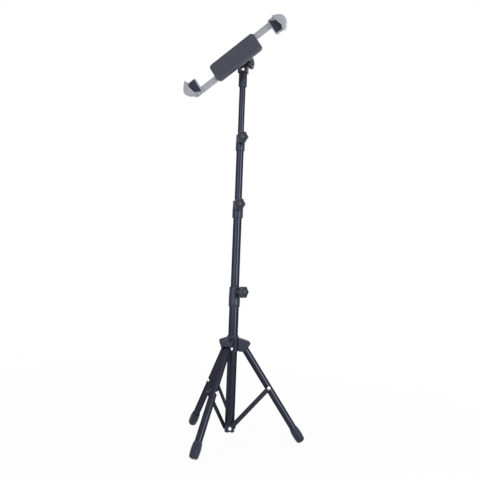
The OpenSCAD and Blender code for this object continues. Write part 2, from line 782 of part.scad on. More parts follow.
module holder_back() color("#1f2024") difference() {
    union() {
        slab(parting, housing_back) housing_2d();
        rod_y(0, 0, housing_back - cut, turntable_back, turntable_d);
    }
    slab(parting - cut, lane_back) lanes_2d();
    rod_y(0, 0, parting - cut, pivot_head_back + face_gap, pivot_head_d + 2 * face_gap);
    rod_y(0, 0, parting, turntable_back + cut, pivot_d + 2 * run_gap);
    shell_screw_holes(parting - cut, turntable_back + cut, shell_screw_d + 2 * fit_gap);
    shell_screw_holes(housing_back - shell_screw_head_t - fit_gap, turntable_back + cut,
                      shell_screw_head_d + 2 * fit_gap);
}

module holder_front() color("#1f2024") difference() {
    slab(housing_front, parting) housing_2d();
    slab(lane_front, parting + cut) lanes_2d();
    shell_screw_holes(parting - shell_screw_bite - fit_gap, parting + cut, shell_screw_d + 2 * fit_gap);
}

module holder_screws() color("#8d9198") {
    shell_screw_holes(parting - shell_screw_bite, housing_back, shell_screw_d);
    shell_screw_holes(housing_back - shell_screw_head_t, housing_back, shell_screw_head_d);
}

module arm(half) color("#a9abb2") turned(half) difference() {
    slab(arm_front, arm_back) rotate(diagonal) {
        translate([arm_start, lane_p - arm_w / 2])
            square([arm_end - arm_start - arm_w / 2, arm_w]);
        translate([arm_end - arm_w / 2, lane_p]) circle(d = arm_w);
    }
    clip_screw_holes(arm_front - cut, arm_back + cut, clip_screw_d + 2 * fit_gap);
}

module clip_screw_holes(y0, y1, d) for (s = clip_screw_s) {
    place = on_diagonal(s, lane_p);
    rod_y(place[0], place[1], y0, y1, d);
}

// Tension spring from the end wall of a lane to the inner end of its arm
module spring(half) color("#b5b8bd") turned(half) {
    place = on_diagonal(-spring_end, lane_p);
    translate([place[0], parting, tilt_z + place[1]]) rotate([0, 90 - diagonal, 0])
        tube(spring_d, spring_wire, spring_end + arm_start - face_gap);
}

// Quadrant outside and inside the upper device corner, with the clip's rounded outer corner
module quadrant_2d() translate([device_w / 2, device_h / 2]) {
    reach = clip_wall - clip_corner;
    translate([-far, -far]) square([far + reach, far + clip_wall]);
    translate([-far, -far]) square([far + clip_wall, far + reach]);
    translate([reach, reach]) circle(r = clip_corner);
}

// L-shaped wall around the device corner, with slanted wing tips
module clip_wall_2d() intersection() {
    quadrant_2d();
    translate([device_w / 2, device_h / 2]) polygon([
        [0, 0], [-clip_wing_x + clip_tip, 0], [-clip_wing_x, clip_wall - tip_edge],
        [-clip_wing_x + 2 * clip_tip, clip_wall], [clip_wall, clip_wall],
        [clip_wall, -clip_wing_z + 2 * clip_tip], [clip_wall - tip_edge, -clip_wing_z],
        [0, -clip_wing_z + clip_tip]]);
}

module clip_lip_2d() {
    clip_wall_2d();
    translate([device_w / 2, device_h / 2]) polygon([
        [cut, cut], [-lip_x, cut], [-lip_x, 0], [0, -lip_z], [cut, -lip_z]]);
}

// Plate behind the device corner, reaching in along the diagonal to the arm
module clip_plate_2d(margin) intersection() {
    quadrant_2d();
    rotate(diagonal) translate([half_diagonal - plate_len + margin, -plate_w / 2 + margin])
        square([far, plate_w - 2 * margin]);
    translate([-far - margin, -far - margin])
        square([far + device_w / 2 + clip_wall, far + device_h / 2 + clip_wall]);
}

module clip(half) color("#a9abb2") turned(half) difference() {
    union() {
        slab(plate_front, arm_front) clip_plate_2d(0);
        slab(-holder_reach - device_t - lip_t, arm_front) clip_wall_2d();
        slab(-holder_reach - device_t - lip_t, -holder_reach - device_t) clip_lip_2d();
    }
    clip_screw_holes(arm_front - clip_screw_bite - fit_gap, arm_front + cut, clip_screw_d + 2 * fit_gap);
}

module pad(half) color("#303136") turned(half) slab(-holder_reach, plate_front) intersection() {
    clip_plate_2d(pad_margin);
    translate([-far, -far])
        square([far + device_w / 2 - pad_margin, far + device_h / 2 - pad_margin]);
}

module clip_screws(half) color("#8d9198") turned(half) {
    clip_screw_holes(arm_front - clip_screw_bite, arm_back, clip_screw_d);
    clip_screw_holes(arm_back, arm_back + clip_screw_head_t, clip_screw_head_d);
}

base_tube();
boss();
hub();
hub_rivets();
for (i = legs) {
    leg(i);
    foot(i);
    strut(i);
    spacer(i);
    leg_rivet(i);
    boss_rivet(i);
}
mast_tube(tube_2_d, tube_2_len, tube_2_top, middle_knob_drop, middle_knob_azimuth);  // mast_tube_2
mast_tube(tube_3_d, tube_3_len, tube_3_top, upper_knob_drop, upper_knob_azimuth);  // mast_tube_3
mast_tube(tube_4_d, tube_4_len, tube_4_top, 0, 0);  // mast_tube_4
tube_plug(tube_2_d, tube_2_len, tube_2_top);  // tube_plug_2
tube_plug(tube_3_d, tube_3_len, tube_3_top);  // tube_plug_3
tube_plug(tube_4_d, tube_4_len, tube_4_top);  // tube_plug_4
collar(base_d, tube_2_d, lower_collar_wall, lower_collar_h, base_top,  // lower_collar
           lower_knob_drop, lower_knob_azimuth);
collar(tube_2_d, tube_3_d, middle_collar_wall, middle_collar_h, tube_2_top,  // middle_collar
           middle_knob_drop, middle_knob_azimuth);
collar(tube_3_d, tube_4_d, upper_collar_wall, upper_collar_h, tube_3_top,  // upper_collar
           upper_knob_drop, upper_knob_azimuth);
clamp_knob(base_d, lower_collar_wall, base_top - lower_knob_drop, lower_knob_azimuth);  // lower_knob
clamp_knob(tube_2_d, middle_collar_wall, tube_2_top - middle_knob_drop, middle_knob_azimuth);  // middle_knob
clamp_knob(tube_3_d, upper_collar_wall, tube_3_top - upper_knob_drop, upper_knob_azimuth);  // upper_knob
clamp_screw(base_d, tube_2_d, lower_collar_wall, base_top - lower_knob_drop, lower_knob_azimuth);  // lower_screw
clamp_screw(tube_2_d, tube_3_d, middle_collar_wall, tube_2_top - middle_knob_drop, middle_knob_azimuth);  // middle_screw
clamp_screw(tube_3_d, tube_4_d, upper_collar_wall, tube_3_top - upper_knob_drop, upper_knob_azimuth);  // upper_screw
clamp_nut(base_d, lower_collar_wall, base_top - lower_knob_drop, lower_knob_azimuth);  // lower_nut
clamp_nut(tube_2_d, middle_collar_wall, tube_2_top - middle_knob_drop, middle_knob_azimuth);  // middle_nut
clamp_nut(tube_3_d, upper_collar_wall, tube_3_top - upper_knob_drop, upper_knob_azimuth);  // upper_nut
top_socket();
socket_screw();
swivel_fork();
tilt_knuckle();
tilt_bolt();
tilt_knob();
pivot_screw();
holder_back();
holder_front();
holder_screws();
arm(1);  // lower_arm
arm(0);  // upper_arm
spring(1);  // lower_spring
spring(0);  // upper_spring
clip(1);  // lower_clip
clip(0);  // upper_clip
pad(1);  // lower_pad
pad(0);  // upper_pad
clip_screws(1);  // lower_clip_screws
clip_screws(0);  // upper_clip_screws
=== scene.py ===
"""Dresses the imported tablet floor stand: turned tubes, moulded plastic, rubber, rivets and studio light."""

import json
import math

import bpy
from mathutils import Matrix, Vector


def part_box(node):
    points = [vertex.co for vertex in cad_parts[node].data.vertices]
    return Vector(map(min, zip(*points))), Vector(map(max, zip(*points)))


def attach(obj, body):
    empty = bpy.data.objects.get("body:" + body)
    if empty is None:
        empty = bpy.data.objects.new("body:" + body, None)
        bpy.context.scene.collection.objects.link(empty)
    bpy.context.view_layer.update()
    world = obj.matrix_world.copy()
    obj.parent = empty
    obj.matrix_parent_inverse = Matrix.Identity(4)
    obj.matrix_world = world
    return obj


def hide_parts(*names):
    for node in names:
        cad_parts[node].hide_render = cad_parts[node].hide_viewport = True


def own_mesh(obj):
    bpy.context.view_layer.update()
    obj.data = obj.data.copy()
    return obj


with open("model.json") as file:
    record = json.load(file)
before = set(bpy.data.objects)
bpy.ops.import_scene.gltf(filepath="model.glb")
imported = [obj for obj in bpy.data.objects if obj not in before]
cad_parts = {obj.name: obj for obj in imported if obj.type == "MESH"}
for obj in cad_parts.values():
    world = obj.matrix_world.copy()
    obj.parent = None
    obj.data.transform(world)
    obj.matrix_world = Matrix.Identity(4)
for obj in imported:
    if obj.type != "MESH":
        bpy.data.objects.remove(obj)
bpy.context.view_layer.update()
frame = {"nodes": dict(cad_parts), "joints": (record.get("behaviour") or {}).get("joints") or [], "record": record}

bl_info = {
    "name": "Tablet floor stand dressing",
    "version": (1, 0, 0),
    "blender": (4, 5, 0),
    "location": "View3D > Sidebar > Stand",
    "description": "Gives the packed tablet floor stand its finished shapes, surfaces and light",
    "category": "Object",
}

MM = 0.001
TURN_STEPS = 64
QUARTER = math.pi / 2

# Gaps of the CAD model, in millimetres
FIT_GAP = 0.05
RUN_GAP = 0.06
TUBE_GAP = 0.3
FACE_GAP = 0.3
FREE_GAP = 0.5

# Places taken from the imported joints, in millimetres
JOINTS = {joint["name"]: joint for joint in frame["joints"]}
LEGS = (1, 2, 3)
HUB_PIVOT_Z = JOINTS["leg_fold_1"]["pos_m"][2] / MM
HUB_PIVOT_R = math.hypot(*JOINTS["leg_fold_1"]["pos_m"][:2]) / MM
STRUT_PIVOT_Z = JOINTS["strut_fold_1"]["pos_m"][2] / MM
STRUT_PIVOT_R = math.hypot(*JOINTS["strut_fold_1"]["pos_m"][:2]) / MM
LEG_SPREAD = math.atan2(STRUT_PIVOT_R - HUB_PIVOT_R, HUB_PIVOT_Z - STRUT_PIVOT_Z)
BOSS_PIVOT_Z = 36.2
STRUT_LEN = math.hypot(STRUT_PIVOT_R, STRUT_PIVOT_Z - BOSS_PIVOT_Z)
STRUT_LEAN = math.atan2(STRUT_PIVOT_R, STRUT_PIVOT_Z - BOSS_PIVOT_Z)
TILT_Z = JOINTS["head_tilt"]["pos_m"][2] / MM
ARM_AXIS = JOINTS["upper_arm_slide"]["axis"]
DIAGONAL = math.atan2(ARM_AXIS[2], ARM_AXIS[0])


# Settings that a user would change

class StandSizes(bpy.types.PropertyGroup):
    """Small sizes of the finished shapes"""

    edge: bpy.props.FloatProperty(
        name="Moulded edge", description="Radius on the edges of the head mouldings", unit="LENGTH",
        default=0.0008, min=0.0002, max=0.002)
    clip_edge: bpy.props.FloatProperty(
        name="Clip edge", description="Radius on the edges of the corner clips", unit="LENGTH",
        default=0.0016, min=0.0004, max=0.0024)
    knob_scallop: bpy.props.FloatProperty(
        name="Knob scallop", description="Depth of the scallops round a star knob", unit="LENGTH",
        default=0.0019, min=0.001, max=0.003)
    tube_lip: bpy.props.FloatProperty(
        name="Tube lip", description="Rounding on the rims of the tubes", unit="LENGTH",
        default=0.0003, min=0.0001, max=0.0005)


class StandColours(bpy.types.PropertyGroup):
    """Colours of the finishes"""

    paint: bpy.props.FloatVectorProperty(
        name="Tube paint", description="Black paint on the tubes and struts", subtype="COLOR",
        default=(0.029, 0.032, 0.046), min=0.0, max=1.0)
    plastic: bpy.props.FloatVectorProperty(
        name="Black plastic", description="Moulded collars, hub, head and housing", subtype="COLOR",
        default=(0.044, 0.049, 0.068), min=0.0, max=1.0)
    rubber: bpy.props.FloatVectorProperty(
        name="Rubber", description="Feet and pads", subtype="COLOR",
        default=(0.029, 0.032, 0.050), min=0.0, max=1.0)
    silver: bpy.props.FloatVectorProperty(
        name="Silver plastic", description="Corner clips and their arms", subtype="COLOR",
        default=(0.325, 0.328, 0.372), min=0.0, max=1.0)
    bright: bpy.props.FloatVectorProperty(
        name="Bright metal", description="Rivets", subtype="COLOR",
        default=(0.80, 0.80, 0.82), min=0.0, max=1.0)
    zinc: bpy.props.FloatVectorProperty(
        name="Zinc plate", description="Screws, nuts and springs", subtype="COLOR",
        default=(0.50, 0.51, 0.53), min=0.0, max=1.0)


def size(name):
    """One of the small sizes, in millimetres."""
    return getattr(bpy.context.scene.stand_sizes, name) / MM


# Modelling helpers: sizes go in as millimetres

def pick(piece):
    """Makes a piece the only one selected, and the active one."""
    bpy.ops.object.select_all(action="DESELECT")
    piece.select_set(True)
    bpy.context.view_layer.objects.active = piece


def start_piece(name, point):
    """A new piece in edit mode, holding one selected vertex."""
    if bpy.context.object and bpy.context.object.mode != "OBJECT":
        bpy.ops.object.mode_set(mode="OBJECT")
    bpy.ops.object.select_all(action="DESELECT")
    bpy.ops.mesh.primitive_plane_add(size=MM)
    piece = bpy.context.object
    piece.name = piece.data.name = name
    bpy.ops.object.mode_set(mode="EDIT")
    bpy.ops.mesh.select_all(action="SELECT")
    bpy.ops.mesh.merge(type="CENTER")
    bpy.ops.transform.translate(value=Vector(point) * MM)
    return piece


def draw(points):
    """Extrudes the selected vertex from point to point."""
    for before, after in zip(points, points[1:]):
        step = (Vector(after) - Vector(before)) * MM
        bpy.ops.mesh.extrude_vertices_move(TRANSFORM_OT_translate={"value": step})


def close_up():
    """Merges what meets and turns every face outwards."""
    bpy.ops.mesh.select_all(action="SELECT")
    bpy.ops.mesh.remove_doubles(threshold=1e-6)
    bpy.ops.mesh.normals_make_consistent(inside=False)
    bpy.ops.object.mode_set(mode="OBJECT")


def turned(name, profile, ring=False, steps=TURN_STEPS):
    """Piece turned about Z from a half section of (radius, height); a ring's section is closed."""
    points = [(r, 0, z) for r, z in profile]
    if ring:
        points.append(points[0])
    piece = start_piece(name, points[0])
    draw(points)
    bpy.ops.mesh.select_all(action="SELECT")
    bpy.ops.mesh.spin(steps=steps, angle=math.tau, center=(0, 0, 0), axis=(0, 0, 1))
    close_up()
    return piece


def bar(name, radius, low, high, steps=32):
    """Round bar on the Z axis, used to cut a bore or a room."""
    return turned(name, [(0, low), (radius, low), (radius, high), (0, high)], steps=steps)


def plate(name, outline, y0, y1):
    """Flat piece with an outline of (x, z) points, between two planes along Y."""
    points = [(x, y0, z) for x, z in outline]
    piece = start_piece(name, points[0])
    draw(points + points[:1])
    bpy.ops.mesh.select_all(action="SELECT")
    bpy.ops.mesh.remove_doubles(threshold=1e-6)
    bpy.ops.mesh.select_all(action="SELECT")
    bpy.ops.mesh.edge_face_add()
    bpy.ops.mesh.extrude_region_move(TRANSFORM_OT_translate={"value": (0, (y1 - y0) * MM, 0)})
    close_up()
    return piece


def apply_modifier(piece, kind, **values):
    """Adds a modifier with the given values and applies it."""
    modifier = piece.modifiers.new(kind.title(), kind)
    for key, value in values.items():
        setattr(modifier, key, value)
    bpy.context.view_layer.objects.active = piece
    bpy.ops.object.modifier_apply(modifier=modifier.name)


def eased(piece, width, segments=3, angle=35):
    """Rounds the edges that are sharper than an angle."""
    apply_modifier(piece, "BEVEL", width=width * MM, segments=segments, limit_method="ANGLE",
                   angle_limit=math.radians(angle))
    return piece


def combine(piece, other, operation):
    """Boolean of a piece with another one, which is used up."""
    apply_modifier(piece, "BOOLEAN", operation=operation, solver="EXACT", object=other)
    bpy.data.objects.remove(other)
    return piece


def fused(piece, *others):
    """Adds other pieces to a piece."""
    for other in others:
        combine(piece, other, "UNION")
    return piece


def cut(piece, *cutters):
    """Takes other pieces out of a piece."""
    for cutter in cutters:
        combine(piece, cutter, "DIFFERENCE")
    return piece


def placed(piece, place):
    """Moves a piece by a matrix in millimetres and bakes the move into its mesh."""
    move = place.copy()
    move.translation = place.translation * MM
    pick(piece)
    piece.matrix_world = move @ piece.matrix_world
    bpy.ops.object.transform_apply(location=True, rotation=True, scale=True)
    return piece


def copied(piece, name):
    """A copy of a piece with its own mesh."""
    pick(piece)
    bpy.ops.object.duplicate(linked=False)
    copy = bpy.context.object
    copy.name = copy.data.name = name
    return copy


def joined(piece, *others):
    """Puts separate solids of one node into one object."""
    pick(piece)
    for other in others:
        other.select_set(True)
    bpy.ops.object.join()
    return piece


def finished(piece, node, body, slot, angle=32):
    """Shades a piece, gives it its slot's finish and lets it stand for its CAD node."""
    pick(piece)
    bpy.ops.object.shade_smooth_by_angle(angle=math.radians(angle))
    piece.data.materials.clear()
    piece.data.materials.append(finish_of(slot))
    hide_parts(node)
    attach(piece, body)
    return piece


def arc(x, z, radius, start, end, count=12):
    """Points of an arc between two angles in degrees."""
    angles = [math.radians(start + (end - start) * k / count) for k in range(count + 1)]
    return [(x + radius * math.cos(a), z + radius * math.sin(a)) for a in angles]


def rounded_box(half_x, half_z, radius):
    """Outline of a rectangle with rounded corners about the origin."""
    x, z = half_x - radius, half_z - radius
    return (arc(x, z, radius, 0, 90) + arc(-x, z, radius, 90, 180)
            + arc(-x, -z, radius, 180, 270) + arc(x, -z, radius, 270, 360))


def stadium(half_width, length):
    """Outline of a bar with round ends, centred on z = 0 and z = length."""
    return arc(0, length, half_width, 0, 180, 16) + arc(0, 0, half_width, 180, 360, 16)


def turn(angle, axis):
    return Matrix.Rotation(angle, 4, axis)


def shift(x=0.0, y=0.0, z=0.0):
    return Matrix.Translation((x, y, z))


# Places of the leg linkage, the clamp screws and the holder

def leg_azimuth(i):
    """Direction of a leg round the mast."""
    x, y, _ = JOINTS[f"leg_fold_{i}"]["pos_m"]
    return math.atan2(y, x)


def along_leg(i):
    """Hub pivot at the origin, the foot towards -Z and the strut's side towards -Y."""
    return turn(leg_azimuth(i), "Z") @ shift(HUB_PIVOT_R, 0, HUB_PIVOT_Z) @ turn(-LEG_SPREAD, "Y")


def along_strut(i):
    """Boss pivot at the origin and the leg pivot towards +Z."""
    return turn(leg_azimuth(i), "Z") @ shift(0, 0, BOSS_PIVOT_Z) @ turn(STRUT_LEAN, "Y")


def along_screw(name):
    """Clamp screw of one collar: +Z runs outwards from the mast axis."""
    joint = JOINTS[f"{name}_knob_turn"]
    azimuth = math.atan2(joint["axis"][1], joint["axis"][0])
    return shift(0, 0, joint["pos_m"][2] / MM) @ turn(azimuth, "Z") @ turn(QUARTER, "Y")


def along_diagonal(half=0):
    """Holder's front view: X along the diagonal towards a clip, the upper one first."""
    return shift(0, 0, TILT_Z) @ turn(math.pi * half - DIAGONAL, "Y")


def front_view(half=0):
    """Holder's front view with level edges, given half a turn for the lower clip."""
    return shift(0, 0, TILT_Z) @ turn(math.pi * half, "Y")


# Shader groups shared by the finishes, and the values that they share

DUST_COLOUR = (0.30, 0.29, 0.28, 1.0)
MOTTLE_SPAN = (0.25, 0.75)
ALONG_Z = (1.0, 1.0, 0.04)
WORN_GAIN = 1.5
WORN_LIFT = 0.01
RUBBED_ROUGHNESS = 0.15


def new_group(name, inputs, outputs):
    """Shader group that takes a place and some numbers with their defaults, and gives numbers."""
    group = bpy.data.node_groups.new(name, "ShaderNodeTree")
    add = group.interface.new_socket
    add("Vector", in_out="INPUT", socket_type="NodeSocketVector")
    for socket, value in inputs.items():
        add(socket, in_out="INPUT", socket_type="NodeSocketFloat").default_value = value
    for socket in outputs:
        add(socket, in_out="OUTPUT", socket_type="NodeSocketFloat")
    return group, group.nodes.new("NodeGroupInput"), group.nodes.new("NodeGroupOutput")


def feed(links, socket, value):
    """Links a socket to another one, or gives it a plain value."""
    if hasattr(value, "is_output"):
        links.new(value, socket)
    else:
        socket.default_value = value


def math_node(nodes, links, operation, first, second):
    """Result of one sum with sockets or plain numbers."""
    node = nodes.new("ShaderNodeMath")
    node.operation = operation
    for socket, value in zip(node.inputs, (first, second)):
        feed(links, socket, value)
    return node.outputs[0]


def ranged(nodes, links, value, span, limits=(0.0, 1.0)):
    """A value carried over from one span to another and kept between its limits."""
    node = nodes.new("ShaderNodeMapRange")
    for socket, number in zip(("From Min", "From Max", "To Min", "To Max"), (*span, *limits)):
        node.inputs[socket].default_value = number
    links.new(value, node.inputs["Value"])
    return node.outputs["Result"]


def noise(nodes, links, place, scale, detail, roughness=0.5):
    """Noise at a place, with a plain scale or one from a socket."""
    node = nodes.new("ShaderNodeTexNoise")
    for socket, value in (("Vector", place), ("Scale", scale), ("Detail", detail), ("Roughness", roughness)):
        feed(links, node.inputs[socket], value)
    return node.outputs["Fac"]


def mixed(nodes, links, factor, first, second):
    """Colour mix whose inputs are sockets or plain colours."""
    node = nodes.new("ShaderNodeMix")
    node.data_type = "RGBA"
    for socket, value in (("Factor", factor), ("A", first), ("B", second)):
        feed(links, node.inputs[socket], value)
    return node.outputs["Result"]


def grain_group():
    """Fine moulded grain: a height for bump and a slow mottle for colour and roughness."""
    inputs = {"Scale": 1500.0, "Mottle scale": 60.0}
    group, source, out = new_group("Surface grain", inputs, ("Height", "Mottle"))
    nodes, links, place = group.nodes, group.links, source.outputs["Vector"]
    links.new(noise(nodes, links, place, source.outputs["Scale"], 3.0), out.inputs["Height"])
    links.new(noise(nodes, links, place, source.outputs["Mottle scale"], 5.0, 0.6), out.inputs["Mottle"])
    return group


def scuff_group():
    """Thin rubbed streaks along Z, as a mask."""
    group, source, out = new_group("Rubbed streaks", {"Scale": 400.0, "Amount": 0.4}, ("Mask",))
    nodes, links = group.nodes, group.links
    scaled = nodes.new("ShaderNodeVectorMath")
    scaled.operation = "MULTIPLY"
    links.new(source.outputs["Vector"], scaled.inputs[0])
    scaled.inputs[1].default_value = ALONG_Z
    streak = noise(nodes, links, scaled.outputs[0], source.outputs["Scale"], 4.0)
    streak = ranged(nodes, links, streak, (0.55, 0.75))
    links.new(math_node(nodes, links, "MULTIPLY", streak, source.outputs["Amount"]), out.inputs["Mask"])
    return group


def dust_group():
    """Thin dust on faces that look upwards, as a mask."""
    group, source, out = new_group("Settled dust", {"Amount": 0.1}, ("Mask",))
    nodes, links = group.nodes, group.links
    split = nodes.new("ShaderNodeSeparateXYZ")
    links.new(nodes.new("ShaderNodeNewGeometry").outputs["Normal"], split.inputs[0])
    upward = ranged(nodes, links, split.outputs["Z"], (0.3, 0.95))
    patchy = math_node(nodes, links, "MULTIPLY", upward,
                       noise(nodes, links, source.outputs["Vector"], 300.0, 6.0))
    links.new(math_node(nodes, links, "MULTIPLY", patchy, source.outputs["Amount"]), out.inputs["Mask"])
    return group


GROUPS = {}


def shared(nodes, links, maker, place, values):
    """Node of a group made once for all finishes, at a place and with plain values on its inputs."""
    if maker not in GROUPS:
        GROUPS[maker] = maker()
    node = nodes.new("ShaderNodeGroup")
    node.node_tree = GROUPS[maker]
    for socket, value in {"Vector": place, **values}.items():
        feed(links, node.inputs[socket], value)
    return node.outputs


def surface(name, colour, rough, grain, mottle, dust=0.0, streaks=0.0, metallic=0.0, specular=0.5, tint=1.0):
    """Procedural finish. rough is a low and a high roughness, grain a scale per metre and a height in
    millimetres, mottle a scale per metre and a share of the colour, dust and streaks are amounts.
    metallic and specular set the gloss, and tint how much of it is left at a grazing angle."""
    material = bpy.data.materials.new(name)
    material.use_nodes = True
    nodes, links = material.node_tree.nodes, material.node_tree.links
    shader = nodes["Principled BSDF"]
    shader.inputs["Metallic"].default_value = metallic
    shader.inputs["Specular IOR Level"].default_value = specular
    shader.inputs["Specular Tint"].default_value = (tint, tint, tint, 1.0)
    place = nodes.new("ShaderNodeTexCoord").outputs["Object"]

    texture = shared(nodes, links, grain_group, place, {"Scale": grain[0], "Mottle scale": mottle[0]})
    dark = [c * (1.0 - mottle[1]) for c in colour] + [1.0]
    light = [min(1.0, c * (1.0 + mottle[1])) for c in colour] + [1.0]
    tone = mixed(nodes, links, texture["Mottle"], dark, light)
    roughness = ranged(nodes, links, texture["Mottle"], MOTTLE_SPAN, rough)
    if streaks:
        rub = shared(nodes, links, scuff_group, place, {"Amount": streaks})["Mask"]
        worn = [min(1.0, c * WORN_GAIN + WORN_LIFT) for c in colour] + [1.0]
        tone = mixed(nodes, links, rub, tone, worn)
        rougher = math_node(nodes, links, "MULTIPLY", rub, RUBBED_ROUGHNESS)
        roughness = math_node(nodes, links, "ADD", roughness, rougher)
    if dust:
        film = shared(nodes, links, dust_group, place, {"Amount": dust})["Mask"]
        tone = mixed(nodes, links, film, tone, DUST_COLOUR)

    bump = nodes.new("ShaderNodeBump")
    bump.inputs["Strength"].default_value = 1.0
    bump.inputs["Distance"].default_value = grain[1] * MM
    links.new(texture["Height"], bump.inputs["Height"])
    links.new(tone, shader.inputs["Base Color"])
    links.new(roughness, shader.inputs["Roughness"])
    links.new(bump.outputs["Normal"], shader.inputs["Normal"])
    return material


# Each material slot's name, colour setting and values for surface
SLOTS = {
    "tube_paint": ("Tube paint", "paint", dict(
        rough=(0.15, 0.21), grain=(900, 0.002), mottle=(35, 0.10), dust=0.02, streaks=0.2,
        metallic=0.9, specular=0.0, tint=0.35)),
    "strut_paint": ("Strut paint", "paint", dict(
        rough=(0.30, 0.40), grain=(1100, 0.003), mottle=(45, 0.12), dust=0.03, streaks=0.25,
        metallic=0.5, specular=0.1, tint=0.35)),
    "black_plastic": ("Black moulding", "plastic", dict(
        rough=(0.22, 0.30), grain=(2200, 0.003), mottle=(70, 0.12), dust=0.04,
        metallic=0.5, specular=0.1, tint=0.35)),
    "knob_plastic": ("Knob moulding", "plastic", dict(
        rough=(0.16, 0.24), grain=(2600, 0.003), mottle=(80, 0.12), dust=0.04,
        metallic=0.6, specular=0.8, tint=0.35)),
    "housing_plastic": ("Housing moulding", "plastic", dict(
        rough=(0.40, 0.50), grain=(1500, 0.004), mottle=(60, 0.10), dust=0.04, specular=0.25)),
    "foot_rubber": ("Foot rubber", "rubber", dict(
        rough=(0.32, 0.42), grain=(1200, 0.006), mottle=(90, 0.18), dust=0.04, specular=0.45, tint=0.2)),
    "pad_rubber": ("Pad rubber", "rubber", dict(
        rough=(0.65, 0.8), grain=(1500, 0.012), mottle=(90, 0.15), dust=0.03, specular=0.2)),
    "bright_rivet": ("Bright rivet", "bright", dict(
        rough=(0.16, 0.26), grain=(3000, 0.0006), mottle=(200, 0.06), metallic=1.0)),
    "zinc_steel": ("Zinc steel", "zinc", dict(
        rough=(0.25, 0.40), grain=(2500, 0.004), mottle=(250, 0.12), metallic=1.0)),
    "silver_plastic": ("Silver plastic", "silver", dict(
        rough=(0.30, 0.38), grain=(2400, 0.0015), mottle=(500, 0.05), specular=0.35, tint=0.4)),
}
FINISHES = {}


def finish_of(slot):
    """Finish of one material slot, made when it is first asked for."""
    if slot not in FINISHES:
        name, setting, values = SLOTS[slot]
        FINISHES[slot] = surface(name, getattr(bpy.context.scene.stand_colours, setting), **values)
    return FINISHES[slot]


# Operators, one for each group of pieces

MAST = {"base_tube": "base", "mast_tube_2": "tube_2", "mast_tube_3": "tube_3", "mast_tube_4": "tube_4"}
TUBE_WALL = 1.2


def tube_section(radius, wall, low, high):
    """Closed half section of a tube with rounded rims."""
    lip, bore = size("tube_lip"), radius - wall
    return [(radius - lip, low), (radius, low + lip), (radius, high - lip), (radius - lip, high),
            (bore + lip, high), (bore, high - lip), (bore, low + lip), (bore + lip, low)]


class STAND_OT_mast(bpy.types.Operator):
    """Turns the tubes of the telescoping mast"""

    bl_idname = "stand.mast"
    bl_label = "Mast tubes"

    def execute(self, context):
        for node, body in MAST.items():
            low, high = (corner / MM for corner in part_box(node))
            piece = turned(f"{node}_turned", tube_section(high.x, TUBE_WALL, low.z, high.z), ring=True)
            finished(piece, node, body, "tube_paint")
        return {"FINISHED"}


# Body, outer tube, inner tube and wall of each collar
COLLARS = {"lower": ("base", "base_tube", "mast_tube_2", 2.2),
           "middle": ("tube_2", "mast_tube_2", "mast_tube_3", 3.0),
           "upper": ("tube_3", "mast_tube_3", "mast_tube_4", 2.5)}
COLLAR_LIP = 4.0
SCREW_BOSS_LEN = 8.0
SCREW_BOSS_R = 7.5
# Clamp screws, tilt bolt and pivot screw
SCREW_R = 3.0
SCREW_HOLE_R = SCREW_R + TUBE_GAP
NUT_POCKET_R = 5.82
NUT_POCKET_DEPTH = 5.05
# Overrun of a cut past the face that it opens
OVERRUN = 2.0


def tube_radius(node):
    """Outer radius of a packed tube."""
    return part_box(node)[1].x / MM


class STAND_OT_collars(bpy.types.Operator):
    """Moulds the clamp collars with their screw bosses"""

    bl_idname = "stand.collars"
    bl_label = "Clamp collars"

    def execute(self, context):
        for name, (body, outer, inner, wall) in COLLARS.items():
            low, high = (corner.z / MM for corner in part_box(f"{name}_collar"))
            bore = tube_radius(outer) + FIT_GAP
            r = tube_radius(outer) + wall
            lip_bore = tube_radius(inner) + TUBE_GAP
            sleeve = turned(f"{name}_collar_moulding", [
                (bore, low), (r - 1.1, low), (r - 0.4, low + 0.3), (r, low + 1.0), (r, low + 5.0),
                (r - 0.35, low + 5.4), (r - 0.35, low + 6.2), (r, low + 6.6), (r, high - 21.0),
                (r - 0.5, high - 20.0), (r - 0.5, high - 1.6), (r - 0.9, high - 0.6), (r - 1.7, high),
                (lip_bore + 0.4, high), (lip_bore, high - 0.4), (lip_bore, high - COLLAR_LIP),
                (bore, high - COLLAR_LIP)], ring=True)
            end = r + SCREW_BOSS_LEN
            boss = turned("screw_boss", [
                (0, bore - 3.0), (SCREW_BOSS_R, bore - 3.0), (SCREW_BOSS_R, end - 1.0),
                (SCREW_BOSS_R - 0.3, end - 0.3), (SCREW_BOSS_R - 1.0, end), (0, end)], steps=48)
            pocket = bar("nut_pocket", NUT_POCKET_R, end - NUT_POCKET_DEPTH, end + OVERRUN, 6)
            hole = bar("screw_hole", SCREW_HOLE_R, 0, end + OVERRUN)
            tube_room = bar("tube_room", bore, low - OVERRUN, high - COLLAR_LIP, TURN_STEPS)
            for tool in (boss, pocket, hole):
                placed(tool, along_screw(name))
            cut(fused(sleeve, boss), tube_room, pocket, hole)
            finished(sleeve, f"{name}_collar", body, "black_plastic")
        return {"FINISHED"}


KNOB_NECK = 5.0
KNOB_T = 9.0
KNOB_CAP = 4.0
KNOB_CAP_R = 7.5
KNOB_R = 15.5
KNOB_LOBES = 6
KNOB_POINTS = 120
KNOB_NECK_R = 7.0
KNOB_BORE_R = SCREW_R + FIT_GAP
KNOB_END_WALL = 3.0
SCALLOP_R = 9.0


